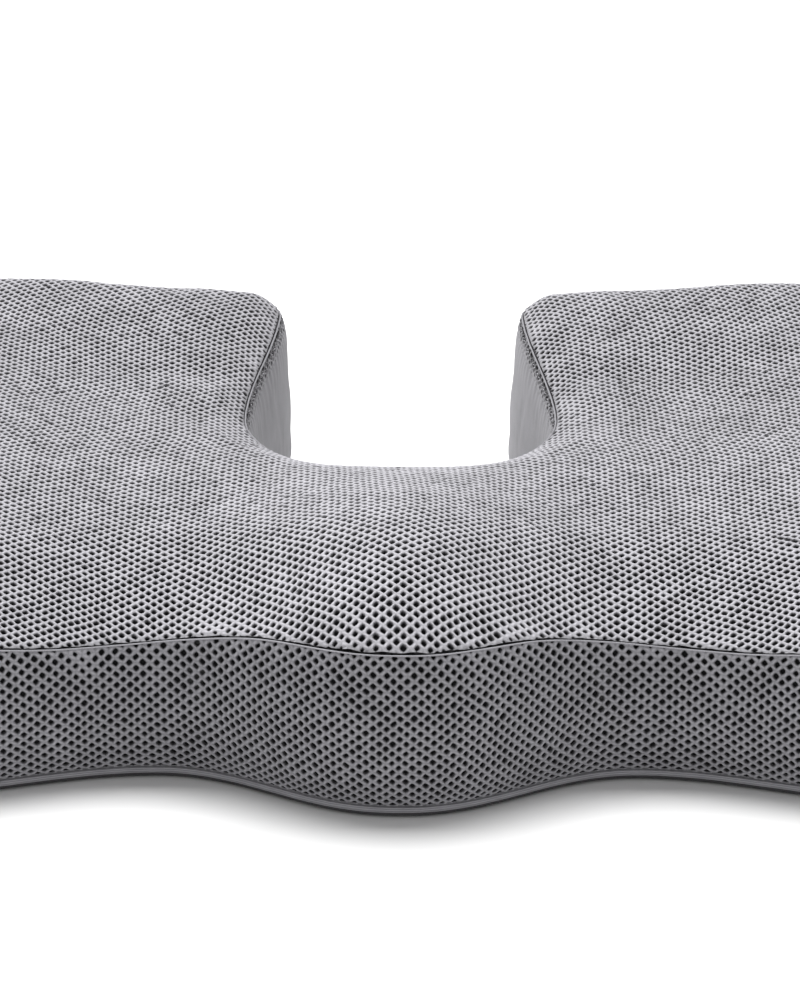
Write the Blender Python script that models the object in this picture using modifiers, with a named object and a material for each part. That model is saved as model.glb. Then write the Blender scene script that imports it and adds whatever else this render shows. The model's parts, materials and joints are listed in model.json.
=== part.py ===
"""Contoured seat cushion with a U-shaped coccyx cut-out.

A moulded foam core wears a thin inner sock and a removable cover. The cover is a top panel, three boxing strips
round the outside, a lining on the cut-out's wall, a base panel and an edge binding. A zip lies in a window low in
the right flank. +X is the sitter's left-right width, -Y the front edge (the nose between the thighs), +Y the open
end of the cut-out, +Z up. The base rests on z = 0 and the origin is the middle of the footprint.
"""

import math

import bmesh
import bpy
import numpy as np
from mathutils import Matrix, Vector

MM = 0.001

# Overall size
WIDTH = 450.0 * MM
DEPTH = 356.0 * MM

# Front edge in plan: the nose, the thigh troughs and the outer lobes (distances back from the nose)
TROUGH_X, TROUGH_Y = 87.0 * MM, 31.2 * MM
SHOULDER_X, SHOULDER_Y = 180.0 * MM, 13.0 * MM
FRONT_CORNER_Y = 62.0 * MM
BACK_CORNER_R = 44.0 * MM
BACK_BOW = 4.0 * MM

# Cut-out in plan
CUT_MOUTH_HALF = 49.2 * MM
CUT_INNER_HALF = 60.0 * MM
CUT_WIDEST_Y = 232.0 * MM
CUT_BOTTOM_Y = 183.5 * MM
CUT_SQUARENESS, CUT_BOW = 2.8, 6.0 * MM
CUT_CORNER_X, CUT_CORNER_Y = 17.0 * MM, 21.0 * MM

# Seam heights round the top edge
FRONT_SEAM_X = [v * MM for v in (0, 30, 50, 64, 79, 96, 115, 127, 143, 162, 180)]
FRONT_SEAM_Z = [v * MM for v in (64.4, 64.2, 62.8, 59.4, 56.0, 54.1, 53.8, 54.6, 56.9, 58.8, 59.4)]
SEAM_SHOULDER = FRONT_SEAM_Z[-1]
SEAM_FLANK_FRONT, SEAM_FLANK_BACK, SEAM_BACK = 60.5 * MM, 72.5 * MM, 75.5 * MM
SEAM_MOUTH, SEAM_CUT_WIDEST, SEAM_LIP = 77.0 * MM, 68.3 * MM, 62.0 * MM

# Side wall: heights that are fixed, shares of the seam height, and how far each level stands in from the widest line
EDGE_Z, FLAT_Z = 4.6 * MM, 20.0 * MM
INSET_BASE, INSET_EDGE, INSET_LOW = 6.0 * MM, 3.8 * MM, 1.2 * MM
INSET_FLANK = 4.2 * MM
BULGE_SHARE, SHOULDER_SHARE = 0.55, 0.80
INSET_SHOULDER, INSET_SEAM = 0.8 * MM, 3.5 * MM

# Layers
COVER_T = 2.2 * MM
SOCK_T = 0.8 * MM
GAP = 0.3 * MM
SEAM_GAP = 0.2 * MM

# Zip, in the right flank
ZIP_Z = 13.0 * MM
WINDOW_Y0, WINDOW_Y1 = 76.0 * MM, 286.0 * MM
WINDOW_HALF = 5.5 * MM
TAPE_T = 0.6 * MM
COIL_W, COIL_T = 2.65 * MM, 2.1 * MM
CHAIN_GAP = 1.1 * MM
END_COVER_L = 11.7 * MM
STOP_L = 2.9 * MM
SLIDER_L, SLIDER_W, PLATE_T = 10.0 * MM, 8.0 * MM, 0.9 * MM
CROWN_L, CROWN_W, CROWN_H, CROWN_T = 7.0 * MM, 2.4 * MM, 2.7 * MM, 0.8 * MM
PIN_R = 0.6 * MM
PULL_L, PULL_W, PULL_T = 26.0 * MM, 6.8 * MM, 1.2 * MM

# Grid across the half cushion: stations along the outer edge, and shares of the way from cut-out to outer edge
OUTER_STATIONS = [v * MM for v in (0, 12, 28, 46, 66, 88, 110, 132, 154, 176, 198, 222, 246, 268, 300, 335, 370, 405, 440, 470, 496, 516, 531)]
CROSS_SHARES = [0.0, 0.05, 0.13, 0.25, 0.42, 0.60, 0.76, 0.88, 0.96, 1.0]

TOP, FRONT, FLANK, CUTOUT, BASE, EDGE = range(6)


def ease(t):
    """0 to 1 with level ends."""
    t = np.clip(t, 0.0, 1.0)
    return 0.5 - 0.5 * np.cos(math.pi * t)


def front_seam(x):
    """Seam height along the front: its few stated heights, averaged over 16 mm so that the seam runs smoothly."""
    spread = np.linspace(-8 * MM, 8 * MM, 9)
    return np.interp(np.abs(np.add.outer(x, spread)), FRONT_SEAM_X, FRONT_SEAM_Z).mean(axis=-1)


# ---------------------------------------------------------------- plan outline of the half at +X
def plan_outline():
    """Points of the widest line from the nose, round the outside and into the cut-out, with the seam height and the
    reach of the rounded top edge at each. y runs back from the nose."""
    half = WIDTH / 2
    rows = []

    def add(x, y, seam, reach):
        rows.append((x, y, seam, reach))

    for x in np.linspace(0, TROUGH_X, 40):
        k = float(ease(x / TROUGH_X))
        add(x, TROUGH_Y * k ** 1.15, float(front_seam(x)), (52 + 30 * k) * MM)
    for x in np.linspace(TROUGH_X, SHOULDER_X, 40)[1:]:
        k = float(ease((x - TROUGH_X) / (SHOULDER_X - TROUGH_X)))
        add(x, TROUGH_Y + (SHOULDER_Y - TROUGH_Y) * k, float(front_seam(x)), (82 - 14 * k) * MM)
    for a in np.linspace(0, math.pi / 2, 30)[1:]:
        k = a / (math.pi / 2)
        x = SHOULDER_X + (half - SHOULDER_X) * math.sin(a)
        y = FRONT_CORNER_Y - (FRONT_CORNER_Y - SHOULDER_Y) * math.cos(a)
        add(x, y, SEAM_SHOULDER + (SEAM_FLANK_FRONT - SEAM_SHOULDER) * k, (68 - 34 * k) * MM)
    flank_end = DEPTH - BACK_CORNER_R
    for y in np.linspace(FRONT_CORNER_Y, flank_end, 60)[1:]:
        k = (y - FRONT_CORNER_Y) / (flank_end - FRONT_CORNER_Y)
        add(half, y, SEAM_FLANK_FRONT + (SEAM_FLANK_BACK - SEAM_FLANK_FRONT) * k, (34 - 8 * k) * MM)
    for a in np.linspace(0, math.pi / 2, 30)[1:]:
        k = a / (math.pi / 2)
        add(half - BACK_CORNER_R * (1 - math.cos(a)), flank_end + BACK_CORNER_R * math.sin(a),
            SEAM_FLANK_BACK + (SEAM_BACK - SEAM_FLANK_BACK) * k, (26 - 9 * k) * MM)
    x_out, x_in = half - BACK_CORNER_R, CUT_MOUTH_HALF + CUT_CORNER_X
    for x in np.linspace(x_out, x_in, 40)[1:]:
        k = (x_out - x) / (x_out - x_in)
        add(x, DEPTH - BACK_BOW * k * k, SEAM_BACK + (SEAM_MOUTH - SEAM_BACK) * k, (17 - 2 * k) * MM)
    y_mouth = DEPTH - BACK_BOW - CUT_CORNER_Y
    for a in np.linspace(0, math.pi / 2, 20)[1:]:
        add(x_in - CUT_CORNER_X * math.sin(a), y_mouth + CUT_CORNER_Y * math.cos(a), SEAM_MOUTH, 15 * MM)
    for y in np.linspace(y_mouth, CUT_WIDEST_Y, 40)[1:]:
        k = float(ease((y_mouth - y) / (y_mouth - CUT_WIDEST_Y)))
        add(CUT_MOUTH_HALF + (CUT_INNER_HALF - CUT_MOUTH_HALF) * k, y, SEAM_MOUTH + (SEAM_CUT_WIDEST - SEAM_MOUTH) * k, 15 * MM)
    power = 2.0 / CUT_SQUARENESS
    for a in np.linspace(0, math.pi / 2, 60)[1:]:
        k = float(ease(a / (math.pi / 2)))
        x, deep = max(math.cos(a), 0.0) ** power, math.sin(a) ** power
        add(CUT_INNER_HALF * x, CUT_WIDEST_Y - (CUT_WIDEST_Y - CUT_BOTTOM_Y) * deep + CUT_BOW * x * x * deep,
            SEAM_CUT_WIDEST + (SEAM_LIP - SEAM_CUT_WIDEST) * k, (15 + 9 * k) * MM)
    return np.array(rows)


OUTLINE = plan_outline()
RUN = np.concatenate([[0.0], np.cumsum(np.hypot(np.diff(OUTLINE[:, 0]), np.diff(OUTLINE[:, 1])))])
TANGENT = np.gradient(OUTLINE[:, :2], RUN, axis=0)
TANGENT[0], TANGENT[-1] = (1, 0), (-1, 0)
TANGENT /= np.linalg.norm(TANGENT, axis=1)[:, None]
OUTWARD = np.stack([TANGENT[:, 1], -TANGENT[:, 0]], 1)


def at_run(s):
    """x, y, outward x, outward y, seam height and reach at a run along the outline."""
    values = [np.interp(s, RUN, OUTLINE[:, k]) for k in (0, 1)]
    values += [np.interp(s, RUN, OUTWARD[:, k]) for k in (0, 1)]
    values += [np.interp(s, RUN, OUTLINE[:, k]) for k in (2, 3)]
    return values


def run_where(test):
    """The run of the first outline point that passes the test."""
    return float(RUN[next(i for i, p in enumerate(OUTLINE) if test(i, p))])


HALF = WIDTH / 2
RUN_FLANK = run_where(lambda i, p: p[0] > HALF - 1e-6)
RUN_BACK_CORNER = run_where(lambda i, p: p[1] > DEPTH - BACK_CORNER_R * 0.30)
RUN_MOUTH_CORNER = run_where(lambda i, p: i > 170 and p[0] < CUT_MOUTH_HALF + CUT_CORNER_X * 0.30)


# ---------------------------------------------------------------- height of the top
HOLLOW_Y = [v * MM for v in (0, 60, 110, 150, 200, 230, 260, 290, 320, 345, 360)]
HOLLOW_Z = [v * MM for v in (69.6, 70.2, 71.2, 72.2, 72.6, 72.9, 74.9, 79.4, 84.2, 87.6, 88.4)]
POMMEL_Y = [v * MM for v in (0, 40, 70, 90, 110, 130, 150, 165, 180, 200)]
POMMEL_Z = [v * MM for v in (13.0, 13.0, 13.7, 13.2, 11.4, 7.8, 3.8, 0.4, -3.0, -5.0)]


def core_height(x, y):
    """Height of the top away from its rounded edges: two thigh hollows that deepen into the seat, a pommel between
    them, wings that rise outwards, and lobes that rise to the back."""
    x = abs(x)
    hollow = np.interp(y, HOLLOW_Y, HOLLOW_Z)
    wings = 9.0 * MM * ease((x - 95 * MM) / (110 * MM))
    lobes = 3.4 * MM * ease((x - 95 * MM) / (70 * MM)) - 1.8 * MM * ease((92 * MM - x) / (34 * MM))
    back = ease((y - 240 * MM) / (80 * MM))
    pommel = np.interp(y, POMMEL_Y, POMMEL_Z) * (0.5 + 0.5 * np.cos(np.clip(math.pi * x / TROUGH_X, 0, math.pi)))
    return hollow + wings * (1 - back) + lobes * back + pommel * (1 - back)


SEAM_LINE = OUTLINE[:, :2] - OUTWARD * INSET_SEAM


def top_height(x, y):
    """The core height, rounded down to the seam over each stretch's reach."""
    away = np.hypot(SEAM_LINE[:, 0] - x, SEAM_LINE[:, 1] - y)
    weight = 1.0 / (away + 1e-6) ** 5
    seam = float((weight * OUTLINE[:, 2]).sum() / weight.sum())
    reach = float((weight * OUTLINE[:, 3]).sum() / weight.sum())
    rise = 1 - (1 - min(float(away.min()) / reach, 1.0)) ** 2.2
    return seam + (float(core_height(x, y)) - seam) * rise


# ---------------------------------------------------------------- closed half body
def wall_ring(level, runs):
    """One level of the side wall, from the base (0) to the seam (5)."""
    ring = []
    for s in runs:
        x, y, nx, ny, seam, _ = at_run(s)
        flank = float(ease((y - 30 * MM) / (32 * MM)) * ease((338 * MM - y) / (38 * MM))) if x > 150 * MM else 0.0
        edge = INSET_EDGE + (INSET_FLANK - INSET_EDGE) * flank
        low = INSET_LOW + (INSET_FLANK - INSET_LOW) * flank
        z, inset = ((0.0, INSET_BASE), (EDGE_Z, edge), (FLAT_Z, low), (seam * BULGE_SHARE, 0.0),
                    (seam * SHOULDER_SHARE, INSET_SHOULDER), (seam, INSET_SEAM))[level]
        ring.append(Vector((max(x - nx * inset, 0.0), y - ny * inset, z)))
    return ring


def station_runs():
    """Runs of the grid's outer edge, back edge and inner edge."""
    outer = [s * RUN_BACK_CORNER / OUTER_STATIONS[-1] for s in OUTER_STATIONS]
    back = [RUN_BACK_CORNER + (RUN_MOUTH_CORNER - RUN_BACK_CORNER) * (1 - v) for v in CROSS_SHARES]
    table_out = [0, 110, 222, 268, 335, 440, 496, 516, 531]
    table_in = [0, 40, 82, 100, 118, 168, 190, 198, 205]
    length = RUN[-1] - RUN_MOUTH_CORNER
    inner = [RUN[-1] - length / 205 * np.interp(s / MM, table_out, table_in) for s in OUTER_STATIONS]
    return outer, back, inner


def top_grid():
    """Points of the half top, [station][share], blended between its four edges."""
    outer_runs, back_runs, inner_runs = station_runs()
    outer, inner, back = (wall_ring(5, r) for r in (outer_runs, inner_runs, back_runs))
    centre = [inner[0].lerp(outer[0], v) for v in CROSS_SHARES]
    last = OUTER_STATIONS[-1]
    grid = []
    for i, s in enumerate(OUTER_STATIONS):
        u = s / last
        row = []
        for j, v in enumerate(CROSS_SHARES):
            p = (inner[i] * (1 - v) + outer[i] * v + centre[j] * (1 - u) + back[j] * u
                 - inner[0] * ((1 - u) * (1 - v)) - outer[0] * ((1 - u) * v) - inner[-1] * (u * (1 - v)) - outer[-1] * (u * v))
            if 0 < j < len(CROSS_SHARES) - 1 and i < len(OUTER_STATIONS) - 1:
                p.z = top_height(p.x, p.y)
            row.append(p)
        grid.append(row)
    return grid


def half_body(inset):
    """The half cushion at +X as one surface, open on the plane x = 0, standing in by inset from the cover's outside."""
    bm = bmesh.new()
    grid = top_grid()
    verts = [[bm.verts.new(p) for p in row] for row in grid]
    for i in range(len(verts) - 1):
        for j in range(len(verts[0]) - 1):
            face = bm.faces.new((verts[i][j], verts[i][j + 1], verts[i + 1][j + 1], verts[i + 1][j]))
            face.material_index = TOP
    outer_runs, back_runs, inner_runs = station_runs()
    runs = outer_runs + back_runs[-2:0:-1] + inner_runs[::-1]
    rim = [row[-1] for row in verts] + verts[-1][-2:0:-1] + [row[0] for row in verts][::-1]
    upper = rim
    split = next(i for i, s in enumerate(outer_runs) if s > RUN_FLANK)
    for level in range(4, -1, -1):
        lower = [bm.verts.new(p) for p in wall_ring(level, runs)]
        for i in range(len(runs) - 1):
            face = bm.faces.new((lower[i], lower[i + 1], upper[i + 1], upper[i]))
            zone = FRONT if i < split else FLANK if runs[i] < RUN_MOUTH_CORNER - 1e-6 else CUTOUT
            face.material_index = EDGE if level == 0 else zone
        upper = lower
    base = bm.faces.new(upper[::-1])
    base.material_index = BASE
    bm.normal_update()
    if base.normal.z > 0:
        bmesh.ops.reverse_faces(bm, faces=bm.faces)
        bm.normal_update()
    moves = []
    for v in bm.verts:
        n = v.normal.copy()
        middle = v.co.x < 1e-7
        if middle:
            n.x = 0.0
            n.normalize()
        moves.append((v, n * (inset * v.calc_shell_factor()), middle))
    for v, move, middle in moves:
        v.co -= move
        if middle:
            v.co.x = 0.0
    for v in bm.verts:
        v.co.y -= DEPTH / 2
    return bm


def draw_back(bm, gap):
    """Draws an open surface's free edges back, so that neighbours sewn along them don't touch."""
    push = {}
    for edge in bm.edges:
        if not edge.is_boundary or all(v.co.x < 1e-7 for v in edge.verts):
            continue
        face = edge.link_faces[0]
        inward = face.normal.cross(edge.verts[1].co - edge.verts[0].co).normalized()
        if inward.dot(face.calc_center_median() - edge.verts[0].co) < 0:
            inward.negate()
        for v in edge.verts:
            push.setdefault(v, []).append(inward)
    for v, ways in push.items():
        total = sum(ways, Vector())
        scale = 1.0 + ways[0].dot(ways[1]) if len(ways) == 2 else 1.0
        middle = v.co.x < 1e-7
        v.co += total * (gap / max(scale, 0.3))
        if middle:
            v.co.x = 0.0


# ---------------------------------------------------------------- scene helpers
def new_collection(name):
    collection = bpy.data.collections.new(name)
    bpy.context.scene.collection.children.link(collection)
    return collection


def material(name, colour, roughness, metallic=0.0):
    mat = bpy.data.materials.new(name)
    mat.use_nodes = True
    shader = mat.node_tree.nodes["Principled BSDF"]
    shader.inputs["Base Color"].default_value = (*colour, 1.0)
    shader.inputs["Roughness"].default_value = roughness
    shader.inputs["Metallic"].default_value = metallic
    return mat


def object_from(bm, name, mat, collection):
    mesh = bpy.data.meshes.new(name)
    bm.to_mesh(mesh)
    bm.free()
    mesh.materials.clear()
    mesh.materials.append(mat)
    mesh.polygons.foreach_set("material_index", [0] * len(mesh.polygons))
    mesh.shade_smooth()
    mesh.set_sharp_from_angle(angle=math.radians(40))
    obj = bpy.data.objects.new(name, mesh)
    collection.objects.link(obj)
    return obj


def mirrored(obj):
    mod = obj.modifiers.new("Mirror", "MIRROR")
    mod.use_axis[0] = True
    mod.use_clip = True
    mod.merge_threshold = 0.0001
    return obj


def thick(obj, thickness):
    mod = obj.modifiers.new("Solidify", "SOLIDIFY")
    mod.thickness = thickness
    mod.offset = 1.0
    mod.use_even_offset = True
    mod.use_rim = True
    return obj


def skin(name, zones, depth, thickness, mat, side="both"):
    """A sewn layer: the half body's zones, standing in by depth, thickened outwards."""
    bm = half_body(depth)
    bmesh.ops.delete(bm, geom=[f for f in bm.faces if f.material_index not in zones], context="FACES")
    bm.normal_update()
    draw_back(bm, SEAM_GAP)
    if side == "left":
        bmesh.ops.transform(bm, matrix=Matrix.Scale(-1, 4, (1, 0, 0)), verts=bm.verts)
        bmesh.ops.reverse_faces(bm, faces=bm.faces)
    obj = object_from(bm, name, mat, PARTS)
    if side == "both":
        mirrored(obj)
    return thick(obj, thickness)


def block(name, low, high, mat, bevel=0.0, parent=None, collection=None):
    """A box between two corners, its origin at its middle."""
    low, high = Vector(low), Vector(high)
    bpy.ops.mesh.primitive_cube_add(size=1, location=(0, 0, 0))
    obj = bpy.context.active_object
    obj.name = obj.data.name = name
    size = high - low
    obj.data.transform(Matrix.Diagonal((*size, 1)))
    obj.location = (low + high) / 2
    for other in list(obj.users_collection):
        other.objects.unlink(obj)
    (collection or PARTS).objects.link(obj)
    if mat:
        obj.data.materials.append(mat)
    if bevel:
        mod = obj.modifiers.new("Bevel", "BEVEL")
        mod.width = bevel
        mod.segments = 2
        obj.data.shade_smooth()
        obj.data.set_sharp_from_angle(angle=math.radians(40))
    if parent:
        obj.parent = parent
        obj.location = (low + high) / 2
    return obj


def combine(target, others, operation="UNION"):
    """Boolean modifiers on target, with the other shapes kept as hidden guides."""
    for other in others:
        for c in list(other.users_collection):
            c.objects.unlink(other)
        CUTTERS.objects.link(other)
        other.hide_render = True
        other.display_type = "WIRE"
        mod = target.modifiers.new(other.name, "BOOLEAN")
        mod.operation = operation
        mod.solver = "EXACT"
        mod.object = other
    return target


# ---------------------------------------------------------------- model
for old in list(bpy.data.objects):
    bpy.data.objects.remove(old, do_unlink=True)

PARTS = new_collection("contoured_seat_cushion")
CUTTERS = new_collection("cutters")

AIR_MESH = material("air_mesh", (0.30, 0.30, 0.32), 0.85)
SMOOTH_KNIT = material("smooth_knit", (0.33, 0.33, 0.36), 0.80)
BASE_CLOTH = material("grip_base_cloth", (0.10, 0.10, 0.11), 0.90)
BINDING = material("binding_tape", (0.24, 0.24, 0.26), 0.75)
SOCK = material("inner_sock", (0.80, 0.80, 0.79), 0.90)
FOAM = material("memory_foam", (0.78, 0.74, 0.62), 0.95)
TAPE = material("zip_tape", (0.20, 0.20, 0.22), 0.80)
COIL = material("zip_coil", (0.17, 0.17, 0.18), 0.45)
ZIP_METAL = material("zip_metal", (0.42, 0.42, 0.44), 0.35, 0.9)
LABEL = material("care_label", (0.82, 0.82, 0.82), 0.70)

# Foam core: the one closed body that everything else is sewn round
foam = object_from(half_body(COVER_T + GAP + SOCK_T + GAP), "foam_core", FOAM, PARTS)
mirrored(foam)

# Inner sock: a cap over the top and the walls, and a flat base piece
SOCK_DEPTH = COVER_T + GAP + SOCK_T
skin("inner_sock_top", {TOP, FRONT, FLANK, CUTOUT}, SOCK_DEPTH, SOCK_T, SOCK)
skin("inner_sock_base", {BASE}, SOCK_DEPTH, SOCK_T, SOCK)

# Cover
skin("cover_top_panel", {TOP}, COVER_T, COVER_T, AIR_MESH)
skin("cover_boxing_front", {FRONT}, COVER_T, COVER_T, AIR_MESH)
skin("cover_boxing_left", {FLANK}, COVER_T, COVER_T, AIR_MESH, side="left")
boxing_right = skin("cover_boxing_right", {FLANK}, COVER_T, COVER_T, AIR_MESH, side="right")
skin("cover_cutout_wall", {CUTOUT}, COVER_T, COVER_T, SMOOTH_KNIT)
skin("cover_base_panel", {BASE}, COVER_T, COVER_T, BASE_CLOTH)
skin("base_edge_binding", {EDGE}, COVER_T, COVER_T, BINDING)

# Zip window in the right flank
FLANK_X = HALF - INSET_FLANK
Y0, Y1 = WINDOW_Y0 - DEPTH / 2, WINDOW_Y1 - DEPTH / 2
window = block("zip_window_cutter", (FLANK_X - 4 * MM, Y0, ZIP_Z - WINDOW_HALF), (FLANK_X + 4 * MM, Y1, ZIP_Z + WINDOW_HALF), None)
combine(boxing_right, [window], "DIFFERENCE")

# Tapes and coils, to either side of a central gap
TAPE_X = FLANK_X - 1.0 * MM
COIL_X = TAPE_X + TAPE_T + GAP
for name, sign in (("upper", 1), ("lower", -1)):
    near, far = sign * CHAIN_GAP / 2, sign * (WINDOW_HALF - GAP)
    z0, z1 = sorted((ZIP_Z + near, ZIP_Z + far))
    block(f"zip_tape_{name}", (TAPE_X, Y0 + GAP, z0), (TAPE_X + TAPE_T, Y1 - GAP, z1), TAPE)
    z0, z1 = sorted((ZIP_Z + near, ZIP_Z + near + sign * COIL_W))
    coil_y0, coil_y1 = Y0 + GAP + END_COVER_L + GAP + STOP_L + GAP, Y1 - GAP - END_COVER_L - GAP - STOP_L - GAP
    block(f"zip_coil_{name}", (COIL_X, coil_y0, z0), (COIL_X + COIL_T, coil_y1, z1), COIL, bevel=0.6 * MM)
    block(f"zip_top_stop_{name}", (COIL_X, coil_y1 + GAP, z0), (COIL_X + COIL_T + 0.2 * MM, coil_y1 + GAP + STOP_L, z1), ZIP_METAL, bevel=0.4 * MM)
block("zip_bottom_stop", (COIL_X, coil_y0 - GAP - STOP_L, ZIP_Z - CHAIN_GAP / 2 - COIL_W),
      (COIL_X + COIL_T + 0.2 * MM, coil_y0 - GAP, ZIP_Z + CHAIN_GAP / 2 + COIL_W), ZIP_METAL, bevel=0.4 * MM)
for name, a, b in (("front", Y0 + GAP, Y0 + GAP + END_COVER_L), ("rear", Y1 - GAP - END_COVER_L, Y1 - GAP)):
    block(f"zip_end_cover_{name}", (COIL_X, a, ZIP_Z - WINDOW_HALF + GAP), (COIL_X + 1.2 * MM, b, ZIP_Z + WINDOW_HALF - GAP), TAPE, bevel=0.35 * MM)

# Slider, parked at the rear (closed) end. Its empty stands on the chain's centre line
slider_axis = bpy.data.objects.new("slider_axis", None)
PARTS.objects.link(slider_axis)
slider_axis.location = (COIL_X + COIL_T / 2, coil_y1 - 0.3 * MM - SLIDER_L / 2, ZIP_Z)
plate_in = -COIL_T / 2 - GAP - TAPE_T - GAP
plate_out = COIL_T / 2 + GAP
half_l, half_w = SLIDER_L / 2, SLIDER_W / 2
body = block("zip_slider_body", (plate_out, -half_l, -half_w), (plate_out + PLATE_T, half_l, half_w), ZIP_METAL, parent=slider_axis)
pieces = [
    block("slider_back_plate", (plate_in - PLATE_T, -half_l, -half_w), (plate_in, half_l, half_w), ZIP_METAL, parent=slider_axis),
    block("slider_web", (plate_in - PLATE_T / 2, -half_l * 0.7, -0.25 * MM), (plate_out + PLATE_T / 2, half_l * 0.3, 0.25 * MM), ZIP_METAL, parent=slider_axis),
]
for sign in (-1, 1):
    z0, z1 = sorted((sign * (half_w - 0.65 * MM), sign * (half_w - 0.05 * MM)))
    pieces.append(block(f"slider_flange_{'lower' if sign < 0 else 'upper'}", (-COIL_T / 2, -half_l * 0.9, z0),
                        (plate_out + PLATE_T / 2, half_l * 0.9, z1), ZIP_METAL, parent=slider_axis))
crown_base = plate_out + PLATE_T
crown = block("slider_crown", (crown_base - 0.3 * MM, -CROWN_L / 2, -CROWN_W / 2), (crown_base + CROWN_H, CROWN_L / 2, CROWN_W / 2), ZIP_METAL, bevel=0.7 * MM, parent=slider_axis)
eye_hole = block("slider_eye_cutter", (crown_base, -CROWN_L / 2 + 1.0 * MM, -CROWN_W), (crown_base + CROWN_H - CROWN_T, CROWN_L / 2 - 1.0 * MM, CROWN_W), None, parent=slider_axis)
combine(crown, [eye_hole], "DIFFERENCE")
combine(body, pieces + [crown])

# Pull tab: a pin under the slider's crown, two arms and a rounded grip, its origin on the pin's axis
pull_axis = bpy.data.objects.new("pull_axis", None)
PARTS.objects.link(pull_axis)
pull_axis.parent = slider_axis
pull_axis.location = (crown_base + (CROWN_H - CROWN_T) / 2, 0, 0)
arm_out = 2.8 * MM
bpy.ops.mesh.primitive_cylinder_add(vertices=12, radius=PIN_R, depth=2 * arm_out, location=(0, 0, 0))
pull = bpy.context.active_object
pull.name = pull.data.name = "zip_pull_tab"
for other in list(pull.users_collection):
    other.objects.unlink(pull)
PARTS.objects.link(pull)
pull.data.materials.append(ZIP_METAL)
pull.parent = pull_axis
pull_pieces = []
for sign in (-1, 1):
    z0, z1 = sorted((sign * 1.6 * MM, sign * arm_out))
    pull_pieces.append(block(f"pull_arm_{'lower' if sign < 0 else 'upper'}", (-PULL_T / 2, -0.5 * MM, z0), (PULL_T / 2, 5.5 * MM, z1), ZIP_METAL, parent=pull_axis))
pull_pieces.append(block("pull_grip", (-PULL_T / 2 + 0.02 * MM, 4.6 * MM, -PULL_W / 2), (PULL_T / 2 - 0.02 * MM, PULL_L, PULL_W / 2), ZIP_METAL, bevel=0.5 * MM, parent=pull_axis))
combine(pull, pull_pieces)

# Care label, a folded blank tag sewn in above the binding on the left flank
LABEL_X = -FLANK_X - GAP
block("care_label", (LABEL_X - 0.9 * MM, 225 * MM - DEPTH / 2, EDGE_Z + 0.6 * MM), (LABEL_X, 253 * MM - DEPTH / 2, FLAT_Z - 1.0 * MM), LABEL, bevel=0.25 * MM)
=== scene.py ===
import json
import math

import bpy
import numpy as np
from mathutils import Matrix, Vector, kdtree

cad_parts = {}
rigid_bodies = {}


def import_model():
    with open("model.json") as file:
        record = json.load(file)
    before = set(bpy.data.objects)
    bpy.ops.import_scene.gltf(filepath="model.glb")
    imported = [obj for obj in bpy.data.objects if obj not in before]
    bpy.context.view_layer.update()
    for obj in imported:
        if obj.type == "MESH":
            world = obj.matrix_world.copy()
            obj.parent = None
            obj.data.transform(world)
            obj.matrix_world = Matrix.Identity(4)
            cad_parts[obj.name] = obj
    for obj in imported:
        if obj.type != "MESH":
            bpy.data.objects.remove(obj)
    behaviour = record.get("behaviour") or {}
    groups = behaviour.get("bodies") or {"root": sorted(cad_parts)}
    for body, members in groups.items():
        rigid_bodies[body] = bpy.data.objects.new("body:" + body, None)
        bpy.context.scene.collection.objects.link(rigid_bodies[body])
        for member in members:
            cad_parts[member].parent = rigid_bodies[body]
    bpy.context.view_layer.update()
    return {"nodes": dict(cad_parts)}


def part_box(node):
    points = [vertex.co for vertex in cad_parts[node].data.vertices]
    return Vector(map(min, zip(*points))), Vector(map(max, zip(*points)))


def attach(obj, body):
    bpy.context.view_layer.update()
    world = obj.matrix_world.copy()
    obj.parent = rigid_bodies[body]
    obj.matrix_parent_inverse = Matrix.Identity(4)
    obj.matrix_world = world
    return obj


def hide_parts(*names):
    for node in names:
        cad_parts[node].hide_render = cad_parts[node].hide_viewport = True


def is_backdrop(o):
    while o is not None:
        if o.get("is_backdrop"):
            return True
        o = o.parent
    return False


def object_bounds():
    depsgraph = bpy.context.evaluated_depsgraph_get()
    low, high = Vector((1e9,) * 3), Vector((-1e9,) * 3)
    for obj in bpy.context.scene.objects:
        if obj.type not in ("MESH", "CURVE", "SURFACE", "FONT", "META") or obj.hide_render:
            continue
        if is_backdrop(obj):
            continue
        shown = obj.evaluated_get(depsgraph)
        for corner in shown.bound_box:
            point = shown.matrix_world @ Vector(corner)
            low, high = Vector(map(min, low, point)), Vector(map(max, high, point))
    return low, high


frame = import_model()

for startup in [o for o in bpy.data.objects if o.name in ("Cube", "Light", "Camera")]:
    bpy.data.objects.remove(startup, do_unlink=True)

# ================================================================ shape of the cushion, in millimetres
# y runs back from the nose here, and to_frame() moves it into the row frame.
WIDTH, DEPTH = 450.0, 356.0
TROUGH_X, TROUGH_Y = 87.0, 31.2
SHOULDER_X, SHOULDER_Y = 180.0, 13.0
FRONT_CORNER_Y, BACK_CORNER_R, BACK_BOW = 62.0, 44.0, 4.0
CUT_MOUTH_HALF, CUT_INNER_HALF, CUT_WIDEST_Y, CUT_BOTTOM_Y = 49.2, 60.0, 232.0, 183.5
CUT_SQUARENESS, CUT_BOW, CUT_CORNER_X, CUT_CORNER_Y = 2.8, 6.0, 17.0, 21.0
FRONT_SEAM_X = (0, 30, 50, 64, 79, 96, 115, 127, 143, 162, 180)
FRONT_SEAM_Z = (64.4, 64.2, 62.8, 59.4, 56.0, 54.1, 53.8, 54.6, 56.9, 58.8, 59.4)
SEAM_SHOULDER, SEAM_FLANK_FRONT, SEAM_FLANK_BACK, SEAM_BACK = 59.4, 60.5, 72.5, 75.5
SEAM_MOUTH, SEAM_CUT_WIDEST, SEAM_LIP = 77.0, 68.3, 62.0
EDGE_Z, FLAT_Z = 4.6, 20.0
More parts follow.
